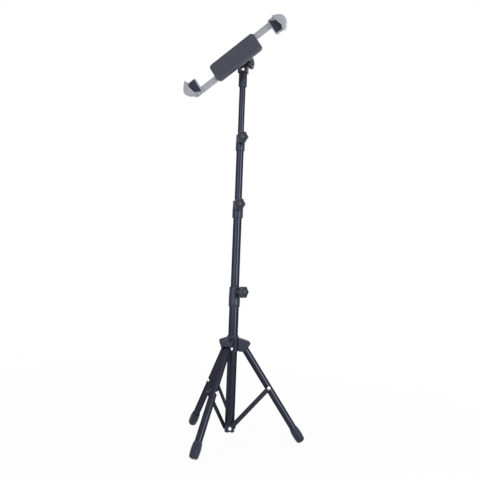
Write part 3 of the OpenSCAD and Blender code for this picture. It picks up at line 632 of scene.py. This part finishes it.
def star_outline():
    """Rim of a star knob: a circle with shallow scallops, its lobes rounded a little."""
    centre = KNOB_R + SCALLOP_R - size("knob_scallop")
    rim = []
    for k in range(KNOB_POINTS):
        off = math.remainder(math.tau * k / KNOB_POINTS, math.tau / KNOB_LOBES)
        room = SCALLOP_R ** 2 - (centre * math.sin(off)) ** 2
        rim.append(min(KNOB_R, centre * math.cos(off) - math.sqrt(room)) if room > 0 else KNOB_R)
    rim = [(rim[k - 1] + 2 * rim[k] + rim[(k + 1) % KNOB_POINTS]) / 4 for k in range(KNOB_POINTS)]
    angles = [math.tau * k / KNOB_POINTS for k in range(KNOB_POINTS)]
    return [(r * math.cos(a), r * math.sin(a)) for r, a in zip(rim, angles)]


def star_knob(name):
    """Star knob on +Z from the start of its neck, with scalloped sides, a dished face and a domed cap."""
    star = eased(plate(name, star_outline(), 0.0, KNOB_T), 1.7, 4, 60)
    placed(star, shift(0, 0, KNOB_NECK) @ turn(QUARTER, "X"))
    top = KNOB_NECK + KNOB_T
    dish = turned("dish", [(0, top - 0.7), (9.2, top - 0.7), (10.0, top + 0.4), (0, top + 0.4)], steps=48)
    dome = (KNOB_CAP_R ** 2 + KNOB_CAP ** 2) / (2 * KNOB_CAP)
    radii = [KNOB_CAP_R * k / 10 for k in range(10, -1, -1)]
    crown = [(r, top + KNOB_CAP - dome + math.sqrt(dome * dome - r * r)) for r in radii]
    inside = KNOB_NECK + 3.0
    cap = turned("cap", [(0, inside), (KNOB_CAP_R, inside)] + crown, steps=48)
    neck = turned("neck", [(KNOB_BORE_R, 0), (KNOB_NECK_R - 0.6, 0), (KNOB_NECK_R, 0.6),
                           (KNOB_NECK_R, inside), (KNOB_BORE_R, inside)], ring=True, steps=48)
    bore = bar("bore", KNOB_BORE_R, -OVERRUN, top - KNOB_END_WALL)
    fused(cut(star, dish), cap, neck)
    return cut(star, bore)


class STAND_OT_knobs(bpy.types.Operator):
    """Models one star knob and sets a copy on each clamp and on the tilt axis"""

    bl_idname = "stand.knobs"
    bl_label = "Star knobs"

    def execute(self, context):
        pattern = star_knob("knob_pattern")
        for name, (_, outer, _, wall) in COLLARS.items():
            start = tube_radius(outer) + wall + SCREW_BOSS_LEN + FREE_GAP
            piece = placed(copied(pattern, f"{name}_knob_star"), along_screw(name) @ shift(0, 0, start))
            finished(piece, f"{name}_knob", f"{name}_knob", "knob_plastic")
        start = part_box("tilt_knob")[0].x / MM
        piece = placed(pattern, shift(start, 0, TILT_Z) @ turn(QUARTER, "Y"))
        piece.name = piece.data.name = "tilt_knob_star"
        finished(piece, "tilt_knob", "tilt_knob", "knob_plastic")
        return {"FINISHED"}


LEG_R = 9.25
LEG_WALL = 1.0
LEG_LEN = 289.0
LEG_OVER = 9.0

HUB_RISE = 31.0
HUB_DROP = 10.0
HUB_BORE = 12.8
HUB_R = 16.0
ARM_HALF = 13.5
# Room that a leg needs in its fork: half its width, and round its upper end as it folds
FORK_HALF = LEG_R + FACE_GAP
SWING_HALF = LEG_R + FREE_GAP
SWING_R = math.hypot(LEG_R, LEG_OVER) + FREE_GAP
SWING_DEPTH = 60.0


class STAND_OT_hub(bpy.types.Operator):
    """Moulds the sliding leg hub with its three forked arms"""

    bl_idname = "stand.hub"
    bl_label = "Leg hub"

    def execute(self, context):
        sleeve = turned("hub_moulding", [
            (HUB_BORE, -HUB_DROP), (HUB_R - 0.8, -HUB_DROP), (HUB_R, -HUB_DROP + 0.8),
            (HUB_R, HUB_RISE - 9.0), (HUB_BORE + 4.0, HUB_RISE - 7.2), (HUB_BORE + 4.4, HUB_RISE - 6.5),
            (HUB_BORE + 4.0, HUB_RISE - 5.7), (HUB_BORE + 1.4, HUB_RISE - 0.5), (HUB_BORE + 1.0, HUB_RISE),
            (HUB_BORE + 0.4, HUB_RISE), (HUB_BORE, HUB_RISE - 0.4)], ring=True)
        placed(sleeve, shift(0, 0, HUB_PIVOT_Z))
        side = ([(-17.0, -6.0), (-17.0, 26.0), (10.0, 17.7), (12.0, 17.0), (14.6, 15.2), (16.0, 13.0),
                 (15.4, 10.6), (12.0, 4.0)] + arc(0, 0, 8.0, 0, -90, 8) + [(-2.0, -10.0), (-13.0, -10.0)])
        spread = (SWING_HALF * math.cos(LEG_SPREAD) + SWING_DEPTH * math.sin(LEG_SPREAD),
                  SWING_HALF * math.sin(LEG_SPREAD) - SWING_DEPTH * math.cos(LEG_SPREAD))
        swing = (arc(0, 0, SWING_R, 0, 180, 24)
                 + [(-SWING_HALF, -SWING_DEPTH), (SWING_DEPTH, -SWING_DEPTH), spread])
        for i in LEGS:
            place = turn(leg_azimuth(i), "Z") @ shift(HUB_PIVOT_R, 0, HUB_PIVOT_Z)
            arm = eased(plate("hub_arm", side, -ARM_HALF, ARM_HALF), 1.6, 4, 40)
            room = plate("leg_room", swing, -FORK_HALF, FORK_HALF)
            fused(sleeve, placed(cut(arm, room), place))
        bore = bar("hub_bore", HUB_BORE, -HUB_DROP - OVERRUN, HUB_RISE + OVERRUN, TURN_STEPS)
        cut(sleeve, placed(bore, shift(0, 0, HUB_PIVOT_Z)))
        finished(sleeve, "hub", "hub", "black_plastic")
        return {"FINISHED"}


FOOT_LEN = 40.0
FOOT_FLOOR = 8.0
FOOT_R = 12.5
FOOT_TAPER = 2.0
FOOT_ROLL = 3.0


def foot_section():
    """Closed half section of a foot: barrel side, rolled end, bore and a beaded mouth."""
    low, high, half = -LEG_LEN, -LEG_LEN + FOOT_LEN, FOOT_LEN / 2
    bore = LEG_R + FIT_GAP
    barrel = []
    for k in range(13):
        z = low + FOOT_ROLL + (FOOT_LEN - 4.4) * k / 12
        across = (z - low - half) / half
        barrel.append((FOOT_R - FOOT_TAPER * across * across, z))
    roll = [(7.45 + FOOT_ROLL * math.sin(a), low + FOOT_ROLL * (1 - math.cos(a)))
            for a in (0.0, 0.35, 0.7, 1.05, 1.35)]
    mouth = [(10.4, high - 0.5), (10.1, high), (bore + 0.3, high), (bore, high - 0.3)]
    return [(0, low), (5.6, low)] + roll + barrel + mouth + [(bore, low + FOOT_FLOOR), (0, low + FOOT_FLOOR)]


class STAND_OT_legs(bpy.types.Operator):
    """Turns the legs and moulds their rubber feet"""

    bl_idname = "stand.legs"
    bl_label = "Legs and feet"

    def execute(self, context):
        for i in LEGS:
            section = tube_section(LEG_R, LEG_WALL, -LEG_LEN + FOOT_FLOOR, LEG_OVER)
            tube = turned(f"leg_{i}_turned", section, ring=True)
            finished(placed(tube, along_leg(i)), f"leg_{i}", f"leg_{i}", "tube_paint")
            foot = turned(f"foot_{i}_moulding", foot_section())
            tread = plate("tread", rounded_box(30.0, 2.0, 0.5), -1.25, 1.25)
            cut(foot, placed(tread, shift(0, 0, -LEG_LEN)))
            placed(foot, along_leg(i))
            floor = plate("floor_cut", rounded_box(40.0, 10.0, 1.0), -40.0, 40.0)
            middle = sum(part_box(f"foot_{i}"), Vector()) / 2 / MM
            cut(foot, placed(floor, shift(middle.x, middle.y, -10.0)))
            finished(foot, f"foot_{i}", f"leg_{i}", "foot_rubber")
        return {"FINISHED"}


STRUT_IN = 13.3
STRUT_T = 2.6
STRUT_OUT = STRUT_IN + STRUT_T
STRUT_HALF = 6.0
RIB_HALF = 2.5
RIB_H = 0.8
RIB_INSET = 12.0


class STAND_OT_struts(bpy.types.Operator):
    """Presses the flat struts with their stiffening rib"""

    bl_idname = "stand.struts"
    bl_label = "Struts"

    def execute(self, context):
        ribbed = STRUT_LEN - 2 * RIB_INSET
        for i in LEGS:
            strut = plate(f"strut_{i}_pressed", stadium(STRUT_HALF, STRUT_LEN), -STRUT_OUT, -STRUT_IN)
            rib = plate("strut_rib", stadium(RIB_HALF, ribbed), -STRUT_OUT - RIB_H, -STRUT_OUT + 1.0)
            placed(eased(rib, 0.6, 3, 50), shift(0, 0, RIB_INSET))
            fused(eased(strut, 0.5, 2, 50), rib)
            finished(placed(strut, along_strut(i)), f"strut_{i}", f"strut_{i}", "strut_paint")
        return {"FINISHED"}


HEAD_R = 4.5
HEAD_H = 2.2
SHANK_R = 2.0


def rivet(name, reach, skirt=0.0):
    """Tubular rivet on +Z: a dimpled dome above a skirt that ends on the plane z = 0, and a shank below."""
    dome = (HEAD_R * HEAD_R + HEAD_H * HEAD_H) / (2 * HEAD_H)
    radii = [HEAD_R * k / 8 for k in range(8, 2, -1)]
    side = [(r, skirt + HEAD_H - dome + math.sqrt(dome * dome - r * r)) for r in radii]
    top = skirt + HEAD_H
    return turned(name, [(0, -reach), (SHANK_R, -reach), (SHANK_R, 0), (HEAD_R, 0)] + side
                  + [(1.5, top - 0.35), (1.2, top - 0.6), (0.7, top - 0.8), (0, top - 0.8)], steps=32)


# Turns about X that point a rivet's head along +Y or -Y
HEAD_UP = -QUARTER
HEAD_DOWN = QUARTER
SADDLE = 2.0
SADDLE_RISE = 0.5
STRUT_PIVOT = 122.0


class STAND_OT_rivets(bpy.types.Operator):
    """Sets the bright rivets of the hub, the legs and the boss"""

    bl_idname = "stand.rivets"
    bl_label = "Rivets"

    def execute(self, context):
        pins = []
        for i in LEGS:
            at_pivot = turn(leg_azimuth(i), "Z") @ shift(HUB_PIVOT_R, ARM_HALF, HUB_PIVOT_Z)
            pins.append(placed(rivet(f"hub_rivet_{i}", 24.0), at_pivot @ turn(HEAD_UP, "X")))
        pins[0].name = pins[0].data.name = "hub_rivets_bright"
        finished(joined(*pins), "hub_rivets", "hub", "bright_rivet")
        for i in LEGS:
            at_leg = along_leg(i) @ shift(0, 0, -STRUT_PIVOT)
            near = rivet(f"leg_rivet_{i}_bright", STRUT_OUT + 8.0)
            placed(near, at_leg @ shift(0, -STRUT_OUT - FACE_GAP, 0) @ turn(HEAD_DOWN, "X"))
            far = rivet("saddle_head", 0.5, SADDLE)
            placed(far, shift(0, LEG_R + SADDLE_RISE - SADDLE, 0) @ turn(HEAD_UP, "X"))
            leg_room = bar("leg_room", LEG_R + FIT_GAP, -20, 20, TURN_STEPS)
            fused(near, placed(cut(far, leg_room), at_leg))
            finished(near, f"leg_rivet_{i}", f"leg_{i}", "bright_rivet")
            pin = rivet(f"boss_rivet_{i}_bright", 9.0)
            placed(pin, turn(leg_azimuth(i), "Z") @ shift(0, -STRUT_OUT, BOSS_PIVOT_Z) @ turn(HEAD_DOWN, "X"))
            finished(pin, f"boss_rivet_{i}", f"strut_{i}", "bright_rivet")
        return {"FINISHED"}


BOSS_R = 13.0
BOSS_LOW = 25.0
BOSS_HIGH = 45.0
BOSS_HOLLOW_R = 9.0
BOSS_POST_R = 4.5
BOSS_CEILING = 41.2
BOSS_PLUG_R = 11.25
BOSS_PLUG_TOP = 70.0
SLOT_HALF = 3.2
SLOT_LEN = 20.0


class STAND_OT_boss(bpy.types.Operator):
    """Moulds the boss under the base tube, slotted for the strut rivets"""

    bl_idname = "stand.boss"
    bl_label = "Lower boss"

    def execute(self, context):
        boss = turned("boss_moulding", [
            (0, BOSS_LOW), (BOSS_POST_R - 0.4, BOSS_LOW), (BOSS_POST_R, BOSS_LOW + 0.4),
            (BOSS_POST_R, BOSS_CEILING), (BOSS_HOLLOW_R, BOSS_CEILING), (BOSS_HOLLOW_R, BOSS_LOW + 0.5),
            (BOSS_HOLLOW_R + 0.5, BOSS_LOW), (BOSS_R - 1.2, BOSS_LOW), (BOSS_R - 0.4, BOSS_LOW + 0.4),
            (BOSS_R, BOSS_LOW + 1.2), (BOSS_R, BOSS_HIGH - 0.5), (BOSS_R - 0.5, BOSS_HIGH),
            (BOSS_PLUG_R, BOSS_HIGH), (BOSS_PLUG_R, BOSS_PLUG_TOP - 0.5), (BOSS_PLUG_R - 0.5, BOSS_PLUG_TOP),
            (0, BOSS_PLUG_TOP)])
        for i in LEGS:
            slot = plate("rivet_slot", stadium(SLOT_HALF, SLOT_LEN), -BOSS_R - 5.0, -BOSS_POST_R - 0.5)
            cut(boss, placed(slot, turn(leg_azimuth(i), "Z") @ shift(0, 0, BOSS_PIVOT_Z - SLOT_LEN)))
        finished(boss, "boss", "base", "black_plastic")
        return {"FINISHED"}


KNUCKLE_R = 11.0
KNUCKLE_HALF = 6.2
FORK_IN = 6.5
FORK_OUT = 11.5
NECK_FRONT = -39.7
NECK_PLATE_R = 18.0
NECK_PLATE_T = 4.0
NECK_HALF = 9.0
NECK_BACK = -7.0
TILT_BORE_R = SCREW_R + RUN_GAP
BOLT_HOLE_R = SCREW_R + FIT_GAP
SET_SCREW_R = 1.55
SOCKET_DEPTH = 15.0
SPIGOT_R = 5.0
GROOVE_R = 3.5
FORK_DROP = 25.7


class STAND_OT_head(bpy.types.Operator):
    """Moulds the socket, the swivel fork and the tilt knuckle on the mast top"""

    bl_idname = "stand.head"
    bl_label = "Swivel and tilt head"

    def execute(self, context):
        edge = size("edge")
        low, high = (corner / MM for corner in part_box("top_socket"))
        r, bottom, top, tube_r = high.x, low.z, high.z, tube_radius("mast_tube_4") + FIT_GAP
        bore = SPIGOT_R + RUN_GAP
        socket = turned("top_socket_moulding", [
            (tube_r, bottom), (r - 1.0, bottom), (r - 0.3, bottom + 0.3), (r, bottom + 1.0),
            (r, bottom + 4.0), (r - 0.4, bottom + 4.4), (r - 0.4, bottom + 5.2), (r, bottom + 5.6),
            (r, top - 1.0), (r - 0.3, top - 0.3), (r - 1.0, top), (bore, top),
            (bore, top - SOCKET_DEPTH), (tube_r, top - SOCKET_DEPTH)], ring=True)
        screw_hole = bar("set_screw_hole", SET_SCREW_R, 0, 20, 24)
        cut(socket, placed(screw_hole, shift(0, 0, top - 6.5) @ turn(HEAD_UP, "X")))
        finished(socket, "top_socket", "tube_4", "black_plastic")

        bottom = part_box("swivel_fork")[0].z / MM
        step = TILT_Z - FORK_DROP
        fork = turned("swivel_fork_moulding", [
            (0, bottom), (SPIGOT_R - 0.4, bottom), (SPIGOT_R, bottom + 0.4), (SPIGOT_R, bottom + 4.5),
            (GROOVE_R, bottom + 4.5), (GROOVE_R, bottom + 8.5), (SPIGOT_R, bottom + 8.5), (SPIGOT_R, step),
            (r - 0.6, step), (r, step + 0.6), (r, step + 4.9), (r - 0.8, step + 5.7), (0, step + 5.7)])
        outline = arc(0, 0, KNUCKLE_R, 0, 180, 24) + [(-KNUCKLE_R, -FORK_DROP), (KNUCKLE_R, -FORK_DROP)]
        for side in (0, 1):
            cheek = eased(plate("fork_cheek", outline, FORK_IN, FORK_OUT), edge, 3, 50)
            fused(fork, placed(cheek, shift(0, 0, TILT_Z) @ turn(math.pi * side - QUARTER, "Z")))
        bolt_hole = bar("bolt_hole", BOLT_HOLE_R, -20, 20)
        cut(fork, placed(bolt_hole, shift(0, 0, TILT_Z) @ turn(QUARTER, "Y")))
        finished(fork, "swivel_fork", "swivel", "black_plastic")

        knuckle = turned("tilt_knuckle_moulding", [
            (TILT_BORE_R, -KNUCKLE_HALF), (KNUCKLE_R - 0.5, -KNUCKLE_HALF),
            (KNUCKLE_R, -KNUCKLE_HALF + 0.5), (KNUCKLE_R, KNUCKLE_HALF - 0.5),
            (KNUCKLE_R - 0.5, KNUCKLE_HALF), (TILT_BORE_R, KNUCKLE_HALF)], ring=True)
        placed(knuckle, turn(QUARTER, "Y"))
        neck = plate("neck", rounded_box(KNUCKLE_HALF, NECK_HALF, 1.5), NECK_FRONT + 1.0, NECK_BACK)
        disc = turned("neck_plate", [
            (0, 0), (NECK_PLATE_R - 0.6, 0), (NECK_PLATE_R, 0.6), (NECK_PLATE_R, NECK_PLATE_T - 1.2),
            (NECK_PLATE_R - 0.4, NECK_PLATE_T - 0.4), (NECK_PLATE_R - 1.2, NECK_PLATE_T), (0, NECK_PLATE_T)])
        pivot_hole = bar("pivot_hole", BOLT_HOLE_R, -OVERRUN, 12)
        for piece in (disc, pivot_hole):
            placed(piece, shift(0, NECK_FRONT, 0) @ turn(HEAD_UP, "X"))
        cut(fused(knuckle, eased(neck, 0.4, 2, 50), disc), pivot_hole)
        finished(placed(knuckle, shift(0, 0, TILT_Z)), "tilt_knuckle", "tilt", "black_plastic")
        return {"FINISHED"}


HOUSING_HALF = 70.0
HOUSING_SIDE = 24.6
HOUSING_CORNER = 9.0
HOUSING_FRONT = -64.0
HOUSING_BACK = -49.0
PARTING = -56.5
LANE_FRONT = -59.8
LANE_BACK = -53.2
LANE_P = 12.3
LANE_HALF = 8.3
LANE_END = 60.0
TURNTABLE_R = 20.0
TURNTABLE_BACK = -40.0
PIVOT_SEAT = -49.6
SCREW_SEAT = -50.85
GRIP_RIBS = (-12.0, -6.0, 0.0, 6.0, 12.0)
SHELL_SCREWS = ((-40.0, 0.0), (40.0, 0.0), (-65.0, LANE_P), (65.0, -LANE_P))
SPRING_R = 2.5
SPRING_WIRE = 0.4
SPRING_LEN = 69.7
SPRING_PITCH = 1.35


def rod(name, x, z, y0, y1, radius, steps=32):
    """Round rod along Y between two planes, at a place in the holder's front view."""
    return placed(bar(name, radius, 0, y1 - y0, steps), shift(x, y0, z) @ turn(HEAD_UP, "X"))


def lane(half):
    """Room of one arm and its spring in the housing, open at the arm's end."""
    outline = [(-LANE_END, LANE_P - LANE_HALF), (90.0, LANE_P - LANE_HALF), (90.0, LANE_P + LANE_HALF),
               (-LANE_END, LANE_P + LANE_HALF)]
    return placed(plate("lane", outline, LANE_FRONT, LANE_BACK), turn(math.pi * half, "Y"))


class STAND_OT_housing(bpy.types.Operator):
    """Moulds the two shells of the holder housing and winds the springs inside"""

    bl_idname = "stand.housing"
    bl_label = "Holder housing"

    def execute(self, context):
        outline = rounded_box(HOUSING_HALF, HOUSING_SIDE, HOUSING_CORNER)
        front = eased(plate("holder_front_moulding", outline, HOUSING_FRONT, PARTING), 1.4, 4, 50)
        panel = plate("panel", rounded_box(62.0, 17.5, 5.0), HOUSING_FRONT - 1.0, HOUSING_FRONT + 0.7)
        cut(front, eased(panel, 0.3, 2, 50), lane(0), lane(1))
        for z in GRIP_RIBS:
            rib = plate("grip_rib", rounded_box(57.0, 1.2, 1.1), HOUSING_FRONT + 0.1, HOUSING_FRONT + 1.5)
            fused(front, placed(eased(rib, 0.4, 3, 50), shift(0, 0, z)))
        finished(placed(front, along_diagonal()), "holder_front", "holder", "housing_plastic")

        back = eased(plate("holder_back_moulding", outline, PARTING, HOUSING_BACK), 1.4, 4, 50)
        table = turned("turntable", [(0, 0), (TURNTABLE_R, 0), (TURNTABLE_R, 9.0), (TURNTABLE_R - 0.3, 9.7),
                                     (TURNTABLE_R - 1.0, 10.0), (0, 10.0)])
        fused(back, placed(table, shift(0, HOUSING_BACK - 1.0, 0) @ turn(HEAD_UP, "X")))
        cut(back, lane(0), lane(1), rod("head_room", 0, 0, PARTING - 1.0, PIVOT_SEAT, 7.3),
            rod("pivot_room", 0, 0, PARTING, TURNTABLE_BACK + 1.0, 4.06))
        for x, z in SHELL_SCREWS:
            cut(back, rod("screw_head_room", x, z, SCREW_SEAT, HOUSING_BACK + 1.0, 2.85),
                rod("screw_room", x, z, PARTING - 1.5, HOUSING_BACK + 1.0, 1.55, 16))
        finished(placed(back, along_diagonal()), "holder_back", "holder", "housing_plastic")
        for half, name in enumerate(("upper", "lower")):
            self.spring(name, half)
        return {"FINISHED"}

    def spring(self, name, half):
        """Winds one tension spring and sets it in its arm's lane in the holder."""
        bpy.ops.object.select_all(action="DESELECT")
        bpy.ops.mesh.primitive_circle_add(vertices=8, radius=SPRING_WIRE * MM, rotation=(QUARTER, 0, 0),
                                          location=((SPRING_R - SPRING_WIRE) * MM, 0, 0))
        spring = bpy.context.object
        spring.name = spring.data.name = f"{name}_spring_coil"
        bpy.ops.object.transform_apply(location=True, rotation=True, scale=True)
        wound = SPRING_LEN - 2 * SPRING_WIRE
        turns = int(wound / SPRING_PITCH)
        apply_modifier(spring, "SCREW", axis="Z", steps=16, render_steps=16, iterations=turns,
                       screw_offset=wound / turns * MM, use_merge_vertices=False)
        bpy.ops.object.mode_set(mode="EDIT")
        bpy.ops.mesh.select_all(action="DESELECT")
        bpy.ops.mesh.select_non_manifold()
        bpy.ops.mesh.fill()
        close_up()
        start = along_diagonal(half) @ shift(-LANE_END, PARTING, LANE_P)
        placed(spring, start @ turn(QUARTER, "Y") @ shift(0, 0, SPRING_WIRE))
        finished(spring, f"{name}_spring", "holder", "zinc_steel", 60)
        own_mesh(spring)


ARM_FRONT = -59.5
ARM_BACK = -53.5
ARM_HALF_W = 8.0
ARM_START = 10.0
HALF_DIAGONAL = 152.6
ARM_ROUND = HALF_DIAGONAL - 16.0
CORNER_X = 125.3
CORNER_Z = 87.1
CLIP_WALL = 8.0
CLIP_CORNER = 13.0
CLIP_FRONT = -79.5
LIP_BACK = -75.5
CLIP_PLATE_FRONT = -66.5


def at_corner(points):
    """Outline given from the held corner, moved to its place in the front view."""
    return [(CORNER_X + x, CORNER_Z + z) for x, z in points]


def clip_shape(name):
    """Upper corner clip: a wall round the corner, a lip in front and a plate behind."""
    edge = size("clip_edge")
    inner = CLIP_WALL - CLIP_CORNER
    rim = arc(inner, inner, CLIP_CORNER, 0, 90, 14)
    wall = ([(0, 0), (0, -25.0), (6.0, -31.0), (CLIP_WALL, -19.0)] + rim
            + [(-16.0, CLIP_WALL), (-28.0, 6.0), (-22.0, 0)])
    clip = eased(plate(name, at_corner(wall), CLIP_FRONT, ARM_FRONT), edge, 4, 40)
    lip = [(-22.0, 0.5), (-22.0, 0), (0, -19.0), (0.5, -19.0), (3.0, 3.0)]
    lip_plate = eased(plate("clip_lip", at_corner(lip), CLIP_FRONT, LIP_BACK), edge * 0.7, 3, 40)
    reach = [(-80.0, -80.0), (CLIP_WALL, -85.0)] + rim + [(-85.0, CLIP_WALL)]
    back = plate("clip_back", at_corner(reach), CLIP_PLATE_FRONT, ARM_FRONT)
    strip = plate("clip_strip", rounded_box(30.0, 22.0, 4.0), CLIP_PLATE_FRONT - 1.0, ARM_FRONT + 1.0)
    placed(strip, turn(-DIAGONAL, "Y") @ shift(HALF_DIAGONAL - 6.0, 0, 0))
    combine(back, strip, "INTERSECT")
    return fused(clip, lip_plate, eased(back, 0.7, 2, 40))


class STAND_OT_clips(bpy.types.Operator):
    """Moulds the sliding arms and the silver corner clips"""

    bl_idname = "stand.clips"
    bl_label = "Arms and clips"

    def execute(self, context):
        pattern = clip_shape("clip_pattern")
        end = arc(ARM_ROUND, LANE_P, ARM_HALF_W, -90, 90, 20)
        outline = [(ARM_START, LANE_P - ARM_HALF_W)] + end + [(ARM_START, LANE_P + ARM_HALF_W)]
        for half, name in enumerate(("upper", "lower")):
            arm = eased(plate(f"{name}_arm_moulding", outline, ARM_FRONT, ARM_BACK), 0.6, 3, 50)
            finished(placed(arm, along_diagonal(half)), f"{name}_arm", f"{name}_arm", "silver_plastic")
            clip = placed(copied(pattern, f"{name}_clip_moulding"), front_view(half))
            finished(clip, f"{name}_clip", f"{name}_arm", "silver_plastic", 40)
        bpy.data.objects.remove(pattern)
        return {"FINISHED"}


class STAND_OT_hardware(bpy.types.Operator):
    """Gives every node of the frame the finish of its slot"""

    bl_idname = "stand.hardware"
    bl_label = "Screws, nuts and other plain nodes"

    def execute(self, context):
        slots = {part["node"]: part["material_slot"] for part in frame["record"]["subparts"]}
        for node, obj in frame["nodes"].items():
            obj.data.materials.clear()
            obj.data.materials.append(finish_of(slots[node]))
        return {"FINISHED"}


# Name, place and aim in metres, width, height and watts of each lamp
LAMPS = (("Key", (2.05, -1.04, 0.72), (0, 0, 0.6), 0.9, 1.4, 29),
         ("Fill", (-0.45, -2.45, 0.85), (0, 0, 0.55), 2.4, 1.6, 21),
         ("Back", (0.2, 2.4, 1.1), (0, 0, 0.6), 1.6, 1.6, 16),
         ("Top", (0.2, -0.4, 2.6), (0, 0, 0.3), 1.5, 1.5, 20))
FLOOR_SIZE = 30.0
FLOOR_COLOUR = (0.95, 0.95, 0.95, 1.0)
# Distances in metres between which the shading of the floor fades out, and the shares of white there
FLOOR_FADE = (0.3, 1.6)
FLOOR_WHITE = (0.93, 1.0)
SURROUND_LIGHT = 0.3
CAMERA_PLACE = (0.63625472, -1.68379926, 0.502)
CAMERA_AIM = (-0.34894148, 0.93706189, 0.01244388)
CAMERA_ROLL = math.radians(2.21)
LENS_MM = 51.72


class STAND_OT_stage(bpy.types.Operator):
    """Sets the camera, the pale floor, the white surround and the soft lamps"""

    bl_idname = "stand.stage"
    bl_label = "Stage"

    def execute(self, context):
        self.camera(context)
        self.floor()
        self.surround(context)
        for values in LAMPS:
            self.lamp(*values)
        context.scene.view_settings.view_transform = "Standard"
        return {"FINISHED"}

    def camera(self, context):
        aim = Vector(CAMERA_AIM).normalized()
        right = aim.cross(Vector((0, 0, 1))).normalized()
        up = right.cross(aim)
        across = right * math.cos(CAMERA_ROLL) + up * math.sin(CAMERA_ROLL)
        above = up * math.cos(CAMERA_ROLL) - right * math.sin(CAMERA_ROLL)
        bpy.ops.object.camera_add(location=CAMERA_PLACE)
        camera = context.object
        camera.name = "Photo camera"
        camera.rotation_mode = "QUATERNION"
        camera.rotation_quaternion = Matrix((across, above, -aim)).transposed().to_quaternion()
        camera.data.sensor_width = 36.0
        camera.data.lens = LENS_MM
        context.scene.camera = camera

    def floor(self):
        bpy.ops.object.select_all(action="DESELECT")
        bpy.ops.mesh.primitive_plane_add(size=FLOOR_SIZE)
        floor = bpy.context.object
        floor.name = "Studio floor"
        material = bpy.data.materials.new("Pale floor")
        material.use_nodes = True
        nodes, links = material.node_tree.nodes, material.node_tree.links
        base = nodes["Principled BSDF"]
        base.inputs["Base Color"].default_value = FLOOR_COLOUR
        base.inputs["Roughness"].default_value = 0.9
        base.inputs["Specular IOR Level"].default_value = 0.1
        glow = nodes.new("ShaderNodeEmission")
        away = nodes.new("ShaderNodeVectorMath")
        away.operation = "LENGTH"
        links.new(nodes.new("ShaderNodeTexCoord").outputs["Object"], away.inputs[0])
        share = ranged(nodes, links, away.outputs["Value"], FLOOR_FADE, FLOOR_WHITE)
        mix = nodes.new("ShaderNodeMixShader")
        seen = math_node(nodes, links, "MULTIPLY", self.seen_directly(nodes, links), share)
        links.new(seen, mix.inputs["Fac"])
        links.new(base.outputs["BSDF"], mix.inputs[1])
        links.new(glow.outputs["Emission"], mix.inputs[2])
        links.new(mix.outputs["Shader"], nodes["Material Output"].inputs["Surface"])
        floor.data.materials.append(material)

    @staticmethod
    def seen_directly(nodes, links):
        """1 for rays from the camera, or by way of gloss or glass."""
        path = nodes.new("ShaderNodeLightPath")
        seen = path.outputs["Is Camera Ray"]
        for kind in ("Glossy", "Transmission"):
            seen = math_node(nodes, links, "MAXIMUM", seen, path.outputs[f"Is {kind} Ray"])
        return seen

    def surround(self, context):
        world = bpy.data.worlds.new("White surround")
        context.scene.world = world
        world.use_nodes = True
        nodes, links = world.node_tree.nodes, world.node_tree.links
        background = nodes["Background"]
        background.inputs["Color"].default_value = (1.0, 1.0, 1.0, 1.0)
        seen = self.seen_directly(nodes, links)
        strength = ranged(nodes, links, seen, (0.0, 1.0), (SURROUND_LIGHT, 1.0))
        links.new(strength, background.inputs["Strength"])

    def lamp(self, name, place, target, width, height, power):
        bpy.ops.object.light_add(type="AREA", location=place)
        lamp = bpy.context.object
        lamp.name = name
        lamp.data.shape = "RECTANGLE"
        lamp.data.size, lamp.data.size_y = width, height
        lamp.data.energy = power
        lamp.rotation_mode = "QUATERNION"
        lamp.rotation_quaternion = (Vector(target) - Vector(place)).to_track_quat("-Z", "Y")


STEPS = (STAND_OT_hardware, STAND_OT_mast, STAND_OT_collars, STAND_OT_knobs, STAND_OT_hub, STAND_OT_legs,
         STAND_OT_struts, STAND_OT_rivets, STAND_OT_boss, STAND_OT_head, STAND_OT_housing, STAND_OT_clips,
         STAND_OT_stage)


class STAND_PT_dressing(bpy.types.Panel):
    """Lists the steps of the dressing"""

    bl_label = "Tablet floor stand"
    bl_space_type = "VIEW_3D"
    bl_region_type = "UI"
    bl_category = "Stand"

    def draw(self, context):
        for group in (context.scene.stand_sizes, context.scene.stand_colours):
            for key in group.__annotations__:
                self.layout.prop(group, key)
        for step in STEPS:
            self.layout.operator(step.bl_idname)


CLASSES = (StandSizes, StandColours) + STEPS + (STAND_PT_dressing,)


def register():
    for cls in CLASSES:
        bpy.utils.register_class(cls)
    bpy.types.Scene.stand_sizes = bpy.props.PointerProperty(type=StandSizes)
    bpy.types.Scene.stand_colours = bpy.props.PointerProperty(type=StandColours)


def unregister():
    del bpy.types.Scene.stand_colours
    del bpy.types.Scene.stand_sizes
    for cls in reversed(CLASSES):
        bpy.utils.unregister_class(cls)


def main():
    register()
    bpy.ops.stand.hardware()
    bpy.ops.stand.mast()
    bpy.ops.stand.collars()
    bpy.ops.stand.knobs()
    bpy.ops.stand.hub()
    bpy.ops.stand.legs()
    bpy.ops.stand.struts()
    bpy.ops.stand.rivets()
    bpy.ops.stand.boss()
    bpy.ops.stand.head()
    bpy.ops.stand.housing()
    bpy.ops.stand.clips()
    bpy.ops.stand.stage()


if __name__ == "__main__":
    main()
